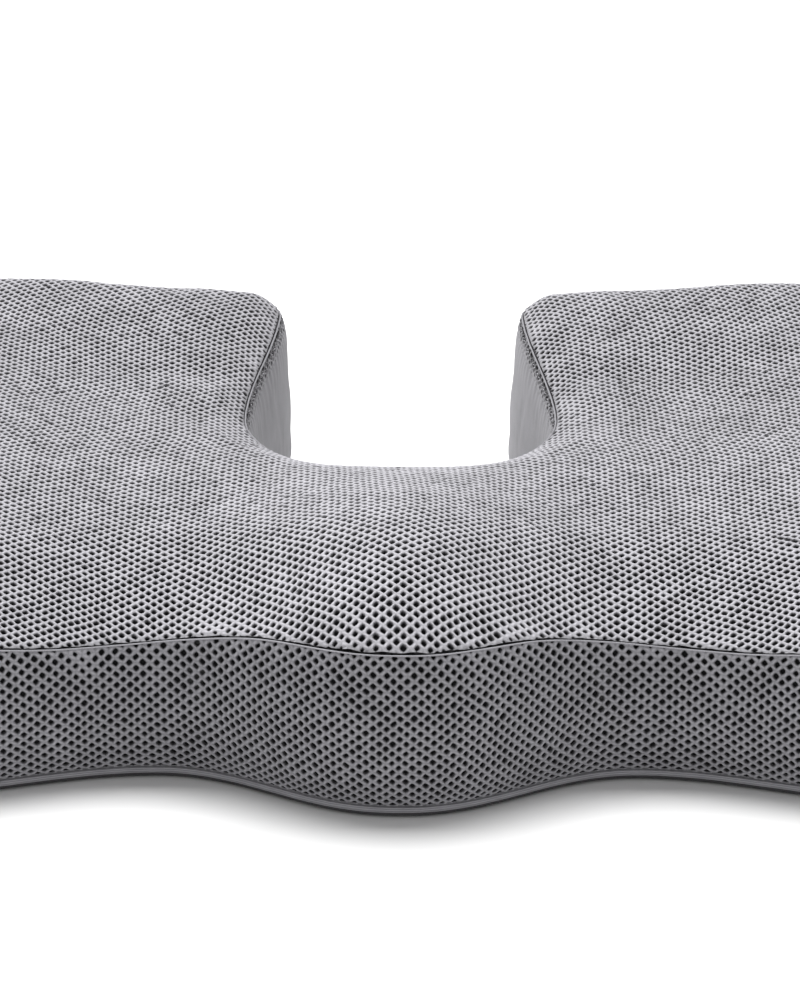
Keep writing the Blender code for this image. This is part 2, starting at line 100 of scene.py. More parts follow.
INSET_BASE, INSET_EDGE, INSET_LOW, INSET_FLANK = 6.0, 3.8, 1.2, 4.2
BULGE_SHARE, SHOULDER_SHARE, INSET_SHOULDER, INSET_SEAM = 0.55, 0.80, 0.8, 3.5
WINDOW_Y0, WINDOW_Y1, WINDOW_Z0, WINDOW_Z1, ZIP_Z = 76.0, 286.0, 7.5, 18.5, 13.0
HOLLOW_Y = (0, 60, 110, 150, 200, 230, 260, 290, 320, 345, 360)
HOLLOW_Z = (69.6, 70.2, 71.2, 72.2, 72.6, 72.9, 74.9, 79.4, 84.2, 87.6, 88.4)
POMMEL_Y = (0, 40, 70, 90, 110, 130, 150, 165, 180, 200)
POMMEL_Z = (13.0, 13.0, 13.7, 13.2, 11.4, 7.8, 3.8, 0.4, -3.0, -5.0)


def ease(t):
    return 0.5 - 0.5 * np.cos(np.pi * np.clip(t, 0.0, 1.0))


def front_seam(x):
    spread = np.linspace(-8, 8, 9)
    return np.interp(np.abs(np.add.outer(x, spread)), FRONT_SEAM_X, FRONT_SEAM_Z).mean(axis=-1)


def plan_outline(n):
    """x, y, seam height and reach of the rounded edge, from the nose round the +X side into the cut-out."""
    half, rows = WIDTH / 2, []

    def add(x, y, seam, reach):
        rows.append((x, y, seam, reach))

    for x in np.linspace(0, TROUGH_X, 40 * n):
        k = float(ease(x / TROUGH_X))
        add(x, TROUGH_Y * k ** 1.15, float(front_seam(x)), 52 + 30 * k)
    for x in np.linspace(TROUGH_X, SHOULDER_X, 40 * n)[1:]:
        k = float(ease((x - TROUGH_X) / (SHOULDER_X - TROUGH_X)))
        add(x, TROUGH_Y + (SHOULDER_Y - TROUGH_Y) * k, float(front_seam(x)), 82 - 14 * k)
    for a in np.linspace(0, math.pi / 2, 30 * n)[1:]:
        k = a / (math.pi / 2)
        add(SHOULDER_X + (half - SHOULDER_X) * math.sin(a), FRONT_CORNER_Y - (FRONT_CORNER_Y - SHOULDER_Y) * math.cos(a),
            SEAM_SHOULDER + (SEAM_FLANK_FRONT - SEAM_SHOULDER) * k, 68 - 34 * k)
    flank_end = DEPTH - BACK_CORNER_R
    for y in np.linspace(FRONT_CORNER_Y, flank_end, 60 * n)[1:]:
        k = (y - FRONT_CORNER_Y) / (flank_end - FRONT_CORNER_Y)
        add(half, y, SEAM_FLANK_FRONT + (SEAM_FLANK_BACK - SEAM_FLANK_FRONT) * k, 34 - 8 * k)
    for a in np.linspace(0, math.pi / 2, 30 * n)[1:]:
        k = a / (math.pi / 2)
        add(half - BACK_CORNER_R * (1 - math.cos(a)), flank_end + BACK_CORNER_R * math.sin(a),
            SEAM_FLANK_BACK + (SEAM_BACK - SEAM_FLANK_BACK) * k, 26 - 9 * k)
    x_out, x_in = half - BACK_CORNER_R, CUT_MOUTH_HALF + CUT_CORNER_X
    for x in np.linspace(x_out, x_in, 40 * n)[1:]:
        k = (x_out - x) / (x_out - x_in)
        add(x, DEPTH - BACK_BOW * k * k, SEAM_BACK + (SEAM_MOUTH - SEAM_BACK) * k, 17 - 2 * k)
    y_mouth = DEPTH - BACK_BOW - CUT_CORNER_Y
    for a in np.linspace(0, math.pi / 2, 20 * n)[1:]:
        add(x_in - CUT_CORNER_X * math.sin(a), y_mouth + CUT_CORNER_Y * math.cos(a), SEAM_MOUTH, 15)
    for y in np.linspace(y_mouth, CUT_WIDEST_Y, 40 * n)[1:]:
        k = float(ease((y_mouth - y) / (y_mouth - CUT_WIDEST_Y)))
        add(CUT_MOUTH_HALF + (CUT_INNER_HALF - CUT_MOUTH_HALF) * k, y, SEAM_MOUTH + (SEAM_CUT_WIDEST - SEAM_MOUTH) * k, 15)
    power = 2.0 / CUT_SQUARENESS
    for a in np.linspace(0, math.pi / 2, 60 * n)[1:]:
        k = float(ease(a / (math.pi / 2)))
        x, deep = max(math.cos(a), 0.0) ** power, math.sin(a) ** power
        add(CUT_INNER_HALF * x, CUT_WIDEST_Y - (CUT_WIDEST_Y - CUT_BOTTOM_Y) * deep + CUT_BOW * x * x * deep,
            SEAM_CUT_WIDEST + (SEAM_LIP - SEAM_CUT_WIDEST) * k, 15 + 9 * k)
    return np.array(rows)


def measured(outline):
    run = np.concatenate([[0.0], np.cumsum(np.hypot(np.diff(outline[:, 0]), np.diff(outline[:, 1])))])
    even = np.linspace(0, run[-1], len(run))
    outline = np.stack([np.interp(even, run, outline[:, k]) for k in range(4)], 1)
    tangent = np.gradient(outline[:, :2], even, axis=0)
    for _ in range(3):
        tangent[1:-1] = (tangent[:-2] + 2 * tangent[1:-1] + tangent[2:]) / 4
    tangent[0], tangent[-1] = (1, 0), (-1, 0)
    tangent /= np.linalg.norm(tangent, axis=1)[:, None]
    return outline, even, np.stack([tangent[:, 1], -tangent[:, 0]], 1)


LINE, RUN, OUT = measured(plan_outline(3))
FULL = RUN[-1]
HALF = WIDTH / 2
RUN_FLANK = float(RUN[np.argmax(LINE[:, 0] > HALF - 1e-3)])
RUN_BACK_CORNER = float(RUN[np.argmax(LINE[:, 1] > DEPTH - BACK_CORNER_R * 0.30)])
inside_mouth = (RUN > RUN_BACK_CORNER) & (LINE[:, 0] < CUT_MOUTH_HALF + CUT_CORNER_X * 0.30)
RUN_MOUTH = float(RUN[np.argmax(inside_mouth)])


def outline_at(r):
    """x, y, outward x and y, and seam height at a signed run: 0 at the nose, + round the +X side."""
    s, side = np.abs(r), np.where(np.asarray(r) < 0, -1.0, 1.0)
    x, y, h = (np.interp(s, RUN, LINE[:, k]) for k in (0, 1, 2))
    nx, ny = (np.interp(s, RUN, OUT[:, k]) for k in (0, 1))
    return x * side, y, nx * side, ny, h


def inset_at(x, y, h, z):
    """How far the side wall stands in from the widest line at height z, through the CAD's six levels."""
    flank = ease((y - 30) / 32) * ease((338 - y) / 38) * (np.abs(x) > 150)
    one = np.ones_like(h)
    kz = np.stack([0 * one, EDGE_Z * one, FLAT_Z * one, h * BULGE_SHARE, h * SHOULDER_SHARE, h], -1)
    kv = np.stack([INSET_BASE * one, INSET_EDGE + (INSET_FLANK - INSET_EDGE) * flank, INSET_LOW + (INSET_FLANK - INSET_LOW) * flank,
                   0 * one, INSET_SHOULDER * one, INSET_SEAM * one], -1)
    step, rise = np.diff(kz, axis=-1), np.diff(kv, axis=-1)
    slope = rise / step
    inner = np.where(slope[..., :-1] * slope[..., 1:] > 0, 2 * slope[..., :-1] * slope[..., 1:] / (slope[..., :-1] + slope[..., 1:] + 1e-12), 0.0)
    m = np.concatenate([slope[..., :1], inner, slope[..., -1:] * 1.25], -1)
    k = np.clip((z[..., None] >= kz).sum(-1) - 1, 0, 4)[..., None]
    take = lambda a, i: np.take_along_axis(a, i, -1)[..., 0]
    z0, w, v0, v1, m0, m1 = take(kz, k), take(step, k), take(kv, k), take(kv, k + 1), take(m, k), take(m, k + 1)
    t = np.clip((z - z0) / w, 0, 1)
    return ((2 * t ** 3 - 3 * t ** 2 + 1) * v0 + (t ** 3 - 2 * t ** 2 + t) * w * m0
            + (-2 * t ** 3 + 3 * t ** 2) * v1 + (t ** 3 - t ** 2) * w * m1)


def wall_frame(r, z):
    """Point and outward normal of the side wall at a run and height."""
    r, z = np.broadcast_arrays(np.asarray(r, float), np.asarray(z, float))
    x, y, nx, ny, h = outline_at(r)
    inset = inset_at(x, y, h, z)
    lean = (inset_at(x, y, h, z + 0.25) - inset_at(x, y, h, z - 0.25)) / 0.5
    n = np.stack([nx, ny, lean], -1)
    n /= np.linalg.norm(n, axis=-1)[..., None]
    return np.stack([x - nx * inset, y - ny * inset, z], -1), n


# Smooth noise on a lattice of seeded random numbers
def noise_field(seed, size=64):
    table = np.random.RandomState(seed).rand(size, size) * 2 - 1

    def value(u, v):
        iu, iv = np.floor(u).astype(int), np.floor(v).astype(int)
        fu, fv = u - iu, v - iv
        fu, fv = fu * fu * (3 - 2 * fu), fv * fv * (3 - 2 * fv)
        a, b = table[iu % size, iv % size], table[(iu + 1) % size, iv % size]
        c, d = table[iu % size, (iv + 1) % size], table[(iu + 1) % size, (iv + 1) % size]
        return (a * (1 - fu) + b * fu) * (1 - fv) + (c * (1 - fu) + d * fu) * fv

    return value


NOISE = [noise_field(seed) for seed in range(11, 23)]


# ---------------------------------------------------------------- height of the top
def core_height(x, y):
    x = np.abs(x)
    hollow = np.interp(y, HOLLOW_Y, HOLLOW_Z)
    wings = 9.0 * ease((x - 95) / 110)
    lobes = 3.4 * ease((x - 95) / 70) - 1.8 * ease((92 - x) / 34)
    back = ease((y - 240) / 80)
    pommel = np.interp(y, POMMEL_Y, POMMEL_Z) * (0.5 + 0.5 * np.cos(np.clip(np.pi * x / TROUGH_X, 0, np.pi)))
    return hollow + wings * (1 - back) + lobes * back + pommel * (1 - back)


COARSE, _, COARSE_OUT = measured(plan_outline(1))
SEAM_COARSE = COARSE[:, :2] - COARSE_OUT * INSET_SEAM


def top_height(x, y):
    """The CAD's height of the top, for any number of points."""
    x, y = np.abs(np.ravel(x)), np.ravel(y)
    out = np.empty(len(x))
    for a in range(0, len(x), 4000):
        px, py = x[a:a + 4000], y[a:a + 4000]
        away = np.hypot(SEAM_COARSE[None, :, 0] - px[:, None], SEAM_COARSE[None, :, 1] - py[:, None])
        weight = 1.0 / (away + 1e-3) ** 5
        weight /= weight.sum(1)[:, None]
        seam, reach = weight @ COARSE[:, 2], weight @ COARSE[:, 3]
        k = away.argmin(1)
        signed = ((SEAM_COARSE[k, 0] - px) * COARSE_OUT[k, 0] + (SEAM_COARSE[k, 1] - py) * COARSE_OUT[k, 1])
        near = np.where(signed < 0, np.maximum(signed, -8), away.min(1))
        rise = 1 - (1 - np.minimum(near / reach, 1.0)) ** 2.2
        out[a:a + 4000] = seam + (core_height(px, py) - seam) * rise
    return out


def seam_tree():
    points = LINE[:, :2] - OUT * INSET_SEAM
    both = np.concatenate([points, points * (-1, 1)])
    outward = np.concatenate([OUT, OUT * (-1, 1)])
    runs = np.concatenate([RUN, -RUN])
    tree = kdtree.KDTree(len(both))
    for i, p in enumerate(both):
        tree.insert((p[0], p[1], 0.0), i)
    tree.balance()
    return tree, both, outward, runs


TREE, SEAM_PTS, SEAM_OUT, SEAM_RUNS = seam_tree()


def to_seam(x, y):
    """Distance inside the top's seam line, the nearest point on it, its run and its outward direction."""
    find = TREE.find
    k = np.fromiter((find((a, b, 0.0))[1] for a, b in zip(x.tolist(), y.tolist())), int, len(x))
    q, n = SEAM_PTS[k], SEAM_OUT[k]
    d = np.stack([x, y], 1) - q
    signed = -(d * n).sum(1)
    along = d + n * signed[:, None]
    return signed, q + along * (np.abs(signed) < 6)[:, None], SEAM_RUNS[k], n


# ================================================================ cloth simulation of the stuffed cover
def coons(stations, shares):
    """The half top between its four edges, as runs of the outer edge by shares of the way across."""
    outer_r = np.linspace(0, RUN_BACK_CORNER, stations)
    v = np.linspace(0, 1, shares)
    table_out, table_in = (0, 110, 222, 268, 335, 440, 496, 516, 531), (0, 40, 82, 100, 118, 168, 190, 198, 205)
    inner_r = FULL - (FULL - RUN_MOUTH) / 205 * np.interp(outer_r / RUN_BACK_CORNER * 531, table_out, table_in)
    back_r = RUN_MOUTH + (RUN_BACK_CORNER - RUN_MOUTH) * v

    def line(r):
        x, y, nx, ny, h = outline_at(r)
        return np.stack([x - nx * INSET_SEAM, y - ny * INSET_SEAM], -1)

    outer, inner, back = line(outer_r), line(inner_r), line(back_r)
    centre = inner[0] * (1 - v)[:, None] + outer[0] * v[:, None]
    u = np.linspace(0, 1, stations)[:, None, None]
    v = v[None, :, None]
    grid = (inner[:, None] * (1 - v) + outer[:, None] * v + centre[None] * (1 - u) + back[None] * u
            - inner[0] * (1 - u) * (1 - v) - outer[0] * (1 - u) * v - inner[-1] * u * (1 - v) - outer[-1] * u * v)
    grid[0, :, 0] = 0.0
    return grid, outer_r, back_r, inner_r


def grid_quads(rows, columns, start=0):
    k = np.arange(rows * columns).reshape(rows, columns) + start
    return np.stack([k[:-1, :-1], k[:-1, 1:], k[1:, 1:], k[1:, :-1]], -1).reshape(-1, 4)


def simulate():
    """Inflates the cover between its seams, held gently by the foam. Returns rest points and moves of the top's
    vertices, and the moves of the wall's as runs by height share."""
    stations, shares, levels = 74, 19, 9
    grid, outer_r, back_r, inner_r = coons(stations, shares)
    z = top_height(grid[..., 0], grid[..., 1]).reshape(stations, shares)
    for i, r in ((np.s_[:, -1], outer_r), (np.s_[:, 0], inner_r), (np.s_[-1, :], back_r)):
        z[i] = outline_at(r)[4]
    top = np.concatenate([grid, z[..., None]], -1)
    rim = np.concatenate([outer_r, back_r[-2:0:-1], inner_r[::-1]])
    share = np.linspace(0, 1, levels)
    h = outline_at(rim)[4]
    wall_z = EDGE_Z + (h[:, None] - EDGE_Z) * share[None]
    wall, wall_n = wall_frame(rim[:, None], wall_z)
    wall[:, -1] = np.stack([*(outline_at(rim)[k] - outline_at(rim)[k + 2] * INSET_SEAM for k in (0, 1)), h], -1)
    foot, _ = wall_frame(rim, np.zeros_like(rim))
    points = np.concatenate([top.reshape(-1, 3), wall.reshape(-1, 3), foot])
    weights = np.concatenate([np.full(top.shape[:2], 0.10).ravel(), np.full(wall.shape[:2], 0.16).ravel(), np.ones(len(foot))])
    t = np.arange(stations * shares).reshape(stations, shares)
    w = np.arange(wall.shape[0] * levels).reshape(-1, levels) + t.size
    f = np.arange(len(foot)) + t.size + w.size
    weights[np.concatenate([w[:, 0], w[:, -1], t[:, 0], t[:, -1], t[-1]])] = 1.0
    quads = [grid_quads(stations, shares), grid_quads(len(rim), levels, t.size)]
    quads.append(np.stack([f[:-1], f[1:], w[1:, 0], w[:-1, 0]], -1))
    quads = np.concatenate(quads)
    mirrored = points * (-1, 1, 1)
    every = np.concatenate([points, mirrored])
    faces = np.concatenate([quads, quads[:, ::-1] + len(points)])
    _, first, back = np.unique(np.round(every / 0.05).astype(int), axis=0, return_index=True, return_inverse=True)
    back = back.reshape(-1)
    faces = back[faces]
    mesh = bpy.data.meshes.new("sim")
    base = [back[f[i]] for i in range(len(f))] + [back[f[i] + len(points)] for i in range(len(f) - 2, 0, -1)]
    polygons = [list(dict.fromkeys(q)) for q in faces.tolist()]
    polygons = [q for q in polygons if len(q) > 2]
    polygons.append(list(dict.fromkeys(int(b) for b in base)))
    mesh.from_pydata((every[first] * 0.001).tolist(), [], polygons)
    mesh.validate()
    obj = bpy.data.objects.new("sim", mesh)
    bpy.context.scene.collection.objects.link(obj)
    import bmesh
    bm = bmesh.new()
    bm.from_mesh(mesh)
    bmesh.ops.recalc_face_normals(bm, faces=bm.faces)
    bm.to_mesh(mesh)
    bm.free()
    group = obj.vertex_groups.new(name="held")
    all_weights = np.concatenate([weights, weights])[first]
    for value in np.unique(all_weights):
        group.add(np.nonzero(all_weights == value)[0].tolist(), float(value), "REPLACE")
    cloth = obj.modifiers.new("Cloth", "CLOTH")
    s = cloth.settings
    s.quality, s.mass = 6, 0.25
    s.tension_stiffness = s.compression_stiffness = 12
    s.shear_stiffness, s.bending_stiffness = 4, 0.4
    s.vertex_group_mass, s.pin_stiffness = "held", 1.0
    s.use_pressure, s.uniform_pressure_force = True, 3.5
    s.shrink_min = -0.012
    s.effector_weights.gravity = 0
    cloth.collision_settings.use_collision = False
    cloth.point_cache.frame_start, cloth.point_cache.frame_end = 1, 24
    scene = bpy.context.scene
    for number in range(1, 21):
        scene.frame_set(number)
    evaluated = obj.evaluated_get(bpy.context.evaluated_depsgraph_get())
    moved = np.array([v.co for v in evaluated.data.vertices]) * 1000
    scene.frame_set(1)
    bpy.data.objects.remove(obj, do_unlink=True)
    move = (moved - every[first])[back]
    size = np.linalg.norm(move, axis=1)[:, None]
    move = move * (3.0 * np.tanh(size / 3.0) / np.maximum(size, 1e-9))
    print("simulation: largest move", round(float(size.max()), 2), "mm, mean", round(float(size.mean()), 2))
    n = len(points)
    top_rest = np.concatenate([every[:t.size], every[n:n + t.size]])
    top_move = np.concatenate([move[:t.size], move[n:n + t.size]])
    wall_out = []
    for start, sign in ((0, 1), (n, -1)):
        m = move[start + t.size:start + t.size + w.size].reshape(-1, levels, 3)
        wall_out.append((m * wall_n * (sign, 1, 1)).sum(-1))
    return top_rest, top_move, rim, share, wall_out


SIM = simulate()


def held_out(move, floor=-0.22):
    """Keeps a move from sinking the cover into the sock under it."""
    return floor + np.logaddexp(0.0, (move - floor) * 3.0) / 3.0


def wall_puff(r, z, h):
    """How far the simulated cover stands out of the CAD's wall."""
    share = np.clip((z - EDGE_Z) / (h - EDGE_Z), 0, 1)
    if SIM is None:
        return 0.8 * np.sin(np.pi * share)
    _, _, rim, levels, out = SIM
    i = np.clip(np.searchsorted(rim, np.abs(r)) - 1, 0, len(rim) - 2)
    fi = np.clip((np.abs(r) - rim[i]) / (rim[i + 1] - rim[i]), 0, 1)
    g = share * (len(levels) - 1)
    j = np.clip(g.astype(int), 0, len(levels) - 2)
    fj = g - j
    values = np.stack(out)[np.where(np.asarray(r) < 0, 1, 0)]
    pick = lambda a, b: np.stack(out)[np.where(np.asarray(r) < 0, 1, 0), a, b]
    mixed = (pick(i, j) * (1 - fi) + pick(i + 1, j) * fi) * (1 - fj) + (pick(i, j + 1) * (1 - fi) + pick(i + 1, j + 1) * fi) * fj
    return 1.2 * np.tanh(mixed / 2.0) - 0.25 * np.sin(np.pi * share)


# ---------------------------------------------------------------- raster of the top, 2 mm apart
STEP = 2.0
GX, GY = np.arange(-234, 234.1, STEP), np.arange(-6, 366.1, STEP)
MX, MY = np.meshgrid(GX, GY)


def build_top():
    height = top_height(MX, MY).reshape(MX.shape)
    signed, _, run, _ = to_seam(MX.ravel(), MY.ravel())
    signed, run = signed.reshape(MX.shape), run.reshape(MX.shape)
    if SIM is not None:
        rest, move = SIM[0], SIM[1]
        tree = kdtree.KDTree(len(rest))
        for i, p in enumerate(rest):
            tree.insert((p[0], p[1], 0), i)
        tree.balance()
        puff = np.zeros(MX.size)
        for i, (x, y) in enumerate(zip(MX.ravel().tolist(), MY.ravel().tolist())):
            found = tree.find_n((x, y, 0), 6)
            weights = [1 / (d + 0.8) ** 2 for _, _, d in found]
            puff[i] = sum(w * move[k, 2] for (_, k, _), w in zip(found, weights)) / sum(weights)
        puff = puff.reshape(MX.shape)
        inner = np.clip(signed / 10, 0, 1)
        puff = (1.5 * np.tanh(puff / 2.2) - 0.5) * inner
    else:
        puff = 0.6 * np.clip(signed / 14, 0, 1)
    edge = np.exp(-np.maximum(signed, 0) / 15.0) * np.clip((signed + 2) / 5, 0, 1)
    front = np.clip((120 - MY) / 60, 0.25, 1)
    pucker = (NOISE[0](run / 11.0 + 40, signed / 40.0 + 3) * 0.6 + NOISE[1](run / 5.5 + 11, signed / 22.0) * 0.25) * front
    lazy = NOISE[2](MX / 42.0 + 30, MY / 42.0) * 0.35 + NOISE[3](MX / 19.0 + 50, MY / 19.0) * 0.12
    return height + held_out(puff + pucker * edge + lazy * np.clip(signed / 12, 0, 1))


TOP_Z = build_top()
TOP_DX, TOP_DY = np.gradient(TOP_Z, STEP, axis=1), np.gradient(TOP_Z, STEP, axis=0)
ARC_X = np.cumsum(np.sqrt(1 + TOP_DX ** 2) * STEP, axis=1)
ARC_X -= ARC_X[:, [len(GX) // 2]]
ARC_Y = np.cumsum(np.sqrt(1 + TOP_DY ** 2) * STEP, axis=0)
ARC_Y -= ARC_Y[[int((100 - GY[0]) / STEP)], :]


def sample(grid, x, y):
    """Cubic reading of a raster."""
    fx, fy = (x - GX[0]) / STEP, (y - GY[0]) / STEP
    ix, iy = np.clip(np.floor(fx).astype(int), 1, len(GX) - 3), np.clip(np.floor(fy).astype(int), 1, len(GY) - 3)
    tx, ty = np.clip(fx - ix, -1, 2), np.clip(fy - iy, -1, 2)

    def weights(t):
        return (-0.5 * t + t ** 2 - 0.5 * t ** 3, 1 - 2.5 * t ** 2 + 1.5 * t ** 3, 0.5 * t + 2 * t ** 2 - 1.5 * t ** 3, -0.5 * t ** 2 + 0.5 * t ** 3)

    wx, wy = weights(tx), weights(ty)
    total = 0.0
    for b in range(4):
        row = 0.0
        for a in range(4):
            row = row + wx[a] * grid[iy + b - 1, ix + a - 1]
        total = total + wy[b] * row
    return total


def linear(grid, x, y):
    fx, fy = (x - GX[0]) / STEP, (y - GY[0]) / STEP
    ix, iy = np.clip(fx.astype(int), 0, len(GX) - 2), np.clip(fy.astype(int), 0, len(GY) - 2)
    tx, ty = fx - ix, fy - iy
    return ((grid[iy, ix] * (1 - tx) + grid[iy, ix + 1] * tx) * (1 - ty)
            + (grid[iy + 1, ix] * (1 - tx) + grid[iy + 1, ix + 1] * tx) * ty)


def top_frame(x, y):
    z = sample(TOP_Z, x, y)
    n = np.stack([-linear(TOP_DX, x, y), -linear(TOP_DY, x, y), np.ones_like(x)], -1)
    return np.stack([x, y, z], -1), n / np.linalg.norm(n, axis=-1)[:, None]


# ================================================================ meshes and materials
def to_frame(points):
    p = np.array(points, float)
    p[..., 1] -= DEPTH / 2
    return p * 0.001


def make_mesh(name, points, polygons, mat, body="cushion", bake=None, cloth=None, floats=None, smooth=True, nodes=(), slot=None):
    """A mesh from arrays of points in mm and polygons, riding on a body."""
    mesh = bpy.data.meshes.new(name)
    points = to_frame(points)
    mesh.vertices.add(len(points))
    mesh.vertices.foreach_set("co", points.astype(np.float32).ravel())
    polygons = [np.asarray(p, np.int32) for p in polygons if len(p)]
    loops = np.concatenate([p.ravel() for p in polygons])
    sizes = np.concatenate([np.full(len(p), p.shape[1]) for p in polygons])
    mesh.loops.add(len(loops))
    mesh.loops.foreach_set("vertex_index", loops)
    mesh.polygons.add(len(sizes))
    mesh.polygons.foreach_set("loop_start", np.concatenate([[0], np.cumsum(sizes)[:-1]]).astype(np.int32))
    mesh.update(calc_edges=True)
    for title, uv in (("OFBake", bake), ("cloth", cloth)):
        if uv is not None:
            layer = mesh.uv_layers.new(name=title)
            layer.data.foreach_set("uv", np.asarray(uv, np.float32)[loops].ravel())
    for title, values in (floats or {}).items():
        mesh.attributes.new(title, "FLOAT", "POINT").data.foreach_set("value", np.asarray(values, np.float32))
    if smooth:
        mesh.shade_smooth()
    mesh.materials.append(mat)
    obj = bpy.data.objects.new(name, mesh)
    bpy.context.scene.collection.objects.link(obj)
    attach(obj, body)
    if nodes:
        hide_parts(*nodes)
    return obj


class Nodes:
    """A small helper that wires a Principled material."""

    def __init__(self, name, colour, roughness, metallic=0.0):
        self.mat = bpy.data.materials.new(name)
        self.mat.use_nodes = True
        self.tree = self.mat.node_tree
        self.shader = self.tree.nodes["Principled BSDF"]
        self.shader.inputs["Base Color"].default_value = (*colour, 1)
        self.shader.inputs["Roughness"].default_value = roughness
        self.shader.inputs["Metallic"].default_value = metallic
        self.shader.inputs["Specular IOR Level"].default_value = 0.25

    def add(self, kind, **settings):
        node = self.tree.nodes.new(kind)
        for key, value in settings.items():
            setattr(node, key, value)
        return node

    def link(self, a, b):
        self.tree.links.new(a, b)

    def position(self):
        return self.add("ShaderNodeTexCoord").outputs["Object"]

    def noise(self, scale, detail=2.0, vector=None, roughness=0.55):
        node = self.add("ShaderNodeTexNoise")
        node.inputs["Scale"].default_value = scale
        node.inputs["Detail"].default_value = detail
        node.inputs["Roughness"].default_value = roughness
        self.link(vector or self.position(), node.inputs["Vector"])
        return node.outputs["Fac"]

    def math(self, operation, a, b=None, c=None):
        node = self.add("ShaderNodeMath", operation=operation)
        for socket, value in zip(node.inputs, (a, b, c)):
            if value is None:
                continue
            if isinstance(value, (int, float)):
                socket.default_value = value
            else:
                self.link(value, socket)
        return node.outputs[0]

    def ramp(self, factor, low, high, a=0.0, b=1.0):
        node = self.add("ShaderNodeValToRGB")
        node.color_ramp.elements[0].position, node.color_ramp.elements[1].position = a, b
        node.color_ramp.elements[0].color, node.color_ramp.elements[1].color = (*low, 1), (*high, 1)
        self.link(factor, node.inputs["Fac"])
        return node.outputs["Color"]

    def colour(self, socket):
        self.link(socket, self.shader.inputs["Base Color"])

    def bump(self, height, strength, distance):
        node = self.add("ShaderNodeBump")
        node.inputs["Strength"].default_value = strength
        node.inputs["Distance"].default_value = distance
        self.link(height, node.inputs["Height"])
        self.link(node.outputs["Normal"], self.shader.inputs["Normal"])

    def cloth_uv(self):
        node = self.add("ShaderNodeUVMap", uv_map="cloth")
        split = self.add("ShaderNodeSeparateXYZ")
        self.link(node.outputs["UV"], split.inputs[0])
        return split.outputs[0], split.outputs[1]


def grey(value, tint=0.055):
    return (value, value * (1 - tint * 0.3), value * (1 + tint))


def thread_material(name, low, high):
    m = Nodes(name, grey(high * 0.8), 0.72)
    # The 'rim' attribute is painted light: it gives the thread crests a painted highlight and the holes painted shade.
    rim = m.add("ShaderNodeAttribute", attribute_name="rim").outputs["Fac"]
    shade = m.math("MULTIPLY_ADD", m.noise(45, 3), 0.30, -0.15)
    fibre = m.math("MULTIPLY_ADD", m.noise(2600, 2), 0.55, -0.27)
    total = m.math("ADD", m.math("ADD", m.math("MULTIPLY", rim, 0.95), shade), fibre)
    m.colour(m.ramp(total, grey(low), grey(high), 0.0, 1.0))
    m.bump(m.noise(3200, 2), 0.5, 0.00012)
    m.shader.inputs["Sheen Weight"].default_value = 0.15
    m.shader.inputs["Sheen Roughness"].default_value = 0.5
    return m.mat


def backing_material():
    # Near-black back face of the spacer mesh: partly its own dark colour, partly painted shade seen through the holes
    # and the seam gap.
    m = Nodes("air_mesh_backing_and_painted_shade", grey(0.018), 0.95)
    m.colour(m.ramp(m.noise(900, 2), grey(0.010), grey(0.030)))
    m.bump(m.noise(1500, 2), 0.6, 0.0003)
    m.shader.inputs["Specular IOR Level"].default_value = 0.05
    return m.mat


def knit_material(name, value, rib_mm=0.9, row_mm=0.7, depth=0.00010):
    """Fine knit: little interlocking stitches in columns."""
    m = Nodes(name, grey(value, 0.055), 0.8)
    u, v = m.cloth_uv()
    wave_u = m.math("SINE", m.math("MULTIPLY", u, 2 * math.pi / rib_mm))
    wave_v = m.math("SINE", m.math("ADD", m.math("MULTIPLY", v, 2 * math.pi / row_mm), m.math("MULTIPLY", wave_u, 1.3)))
    height = m.math("ADD", m.math("MULTIPLY", wave_u, 0.5), m.math("MULTIPLY", wave_v, 0.5))
    mixed = m.math("ADD", m.math("MULTIPLY_ADD", height, 0.10, 0.5), m.math("MULTIPLY_ADD", m.noise(120, 3), 0.5, -0.25))
    m.colour(m.ramp(mixed, grey(value * 0.72), grey(value * 1.28)))
    m.bump(height, 0.55, depth)
    m.shader.inputs["Sheen Weight"].default_value = 0.12
    return m.mat


def tape_material(name, value, rib_mm=0.8, depth=0.00012, along=False):
    """Ribbed woven tape, its ribs across the run or along it."""
    m = Nodes(name, grey(value), 0.75)
    u, v = m.cloth_uv()
    u, v = (v, u) if along else (u, v)
    rib = m.math("ABSOLUTE", m.math("SINE", m.math("MULTIPLY", u, math.pi / rib_mm)))
    weft = m.math("SINE", m.math("MULTIPLY", v, 2 * math.pi / 0.5))
    height = m.math("ADD", rib, m.math("MULTIPLY", weft, 0.15))
    mixed = m.math("ADD", m.math("MULTIPLY", rib, 0.62), m.math("MULTIPLY", m.noise(160, 3), 0.38))
    m.colour(m.ramp(mixed, grey(value * 0.52), grey(value * 1.35)))
    m.bump(height, 0.6, depth)
    return m.mat


def weave_material(name, value, scale_mm=0.7, depth=0.00012, tint=0.04, rough=0.85, low=0.7, high=1.3):
    """Plain weave from position, on faces of any direction."""
    m = Nodes(name, grey(value, tint), rough)
    split = m.add("ShaderNodeSeparateXYZ")
    m.link(m.position(), split.inputs[0])
    k = 2 * math.pi / (scale_mm * 0.001)
    a = m.math("SINE", m.math("MULTIPLY", m.math("ADD", split.outputs[0], split.outputs[2]), k))
    b = m.math("SINE", m.math("MULTIPLY", m.math("ADD", split.outputs[1], split.outputs[2]), k))
    height = m.math("MULTIPLY", a, b)
    mixed = m.math("ADD", m.math("MULTIPLY_ADD", height, 0.22, 0.5), m.math("MULTIPLY_ADD", m.noise(90, 3), 0.5, -0.25))
    m.colour(m.ramp(mixed, grey(value * low, tint), grey(value * high, tint)))
    m.bump(height, 0.5, depth)
    return m.mat


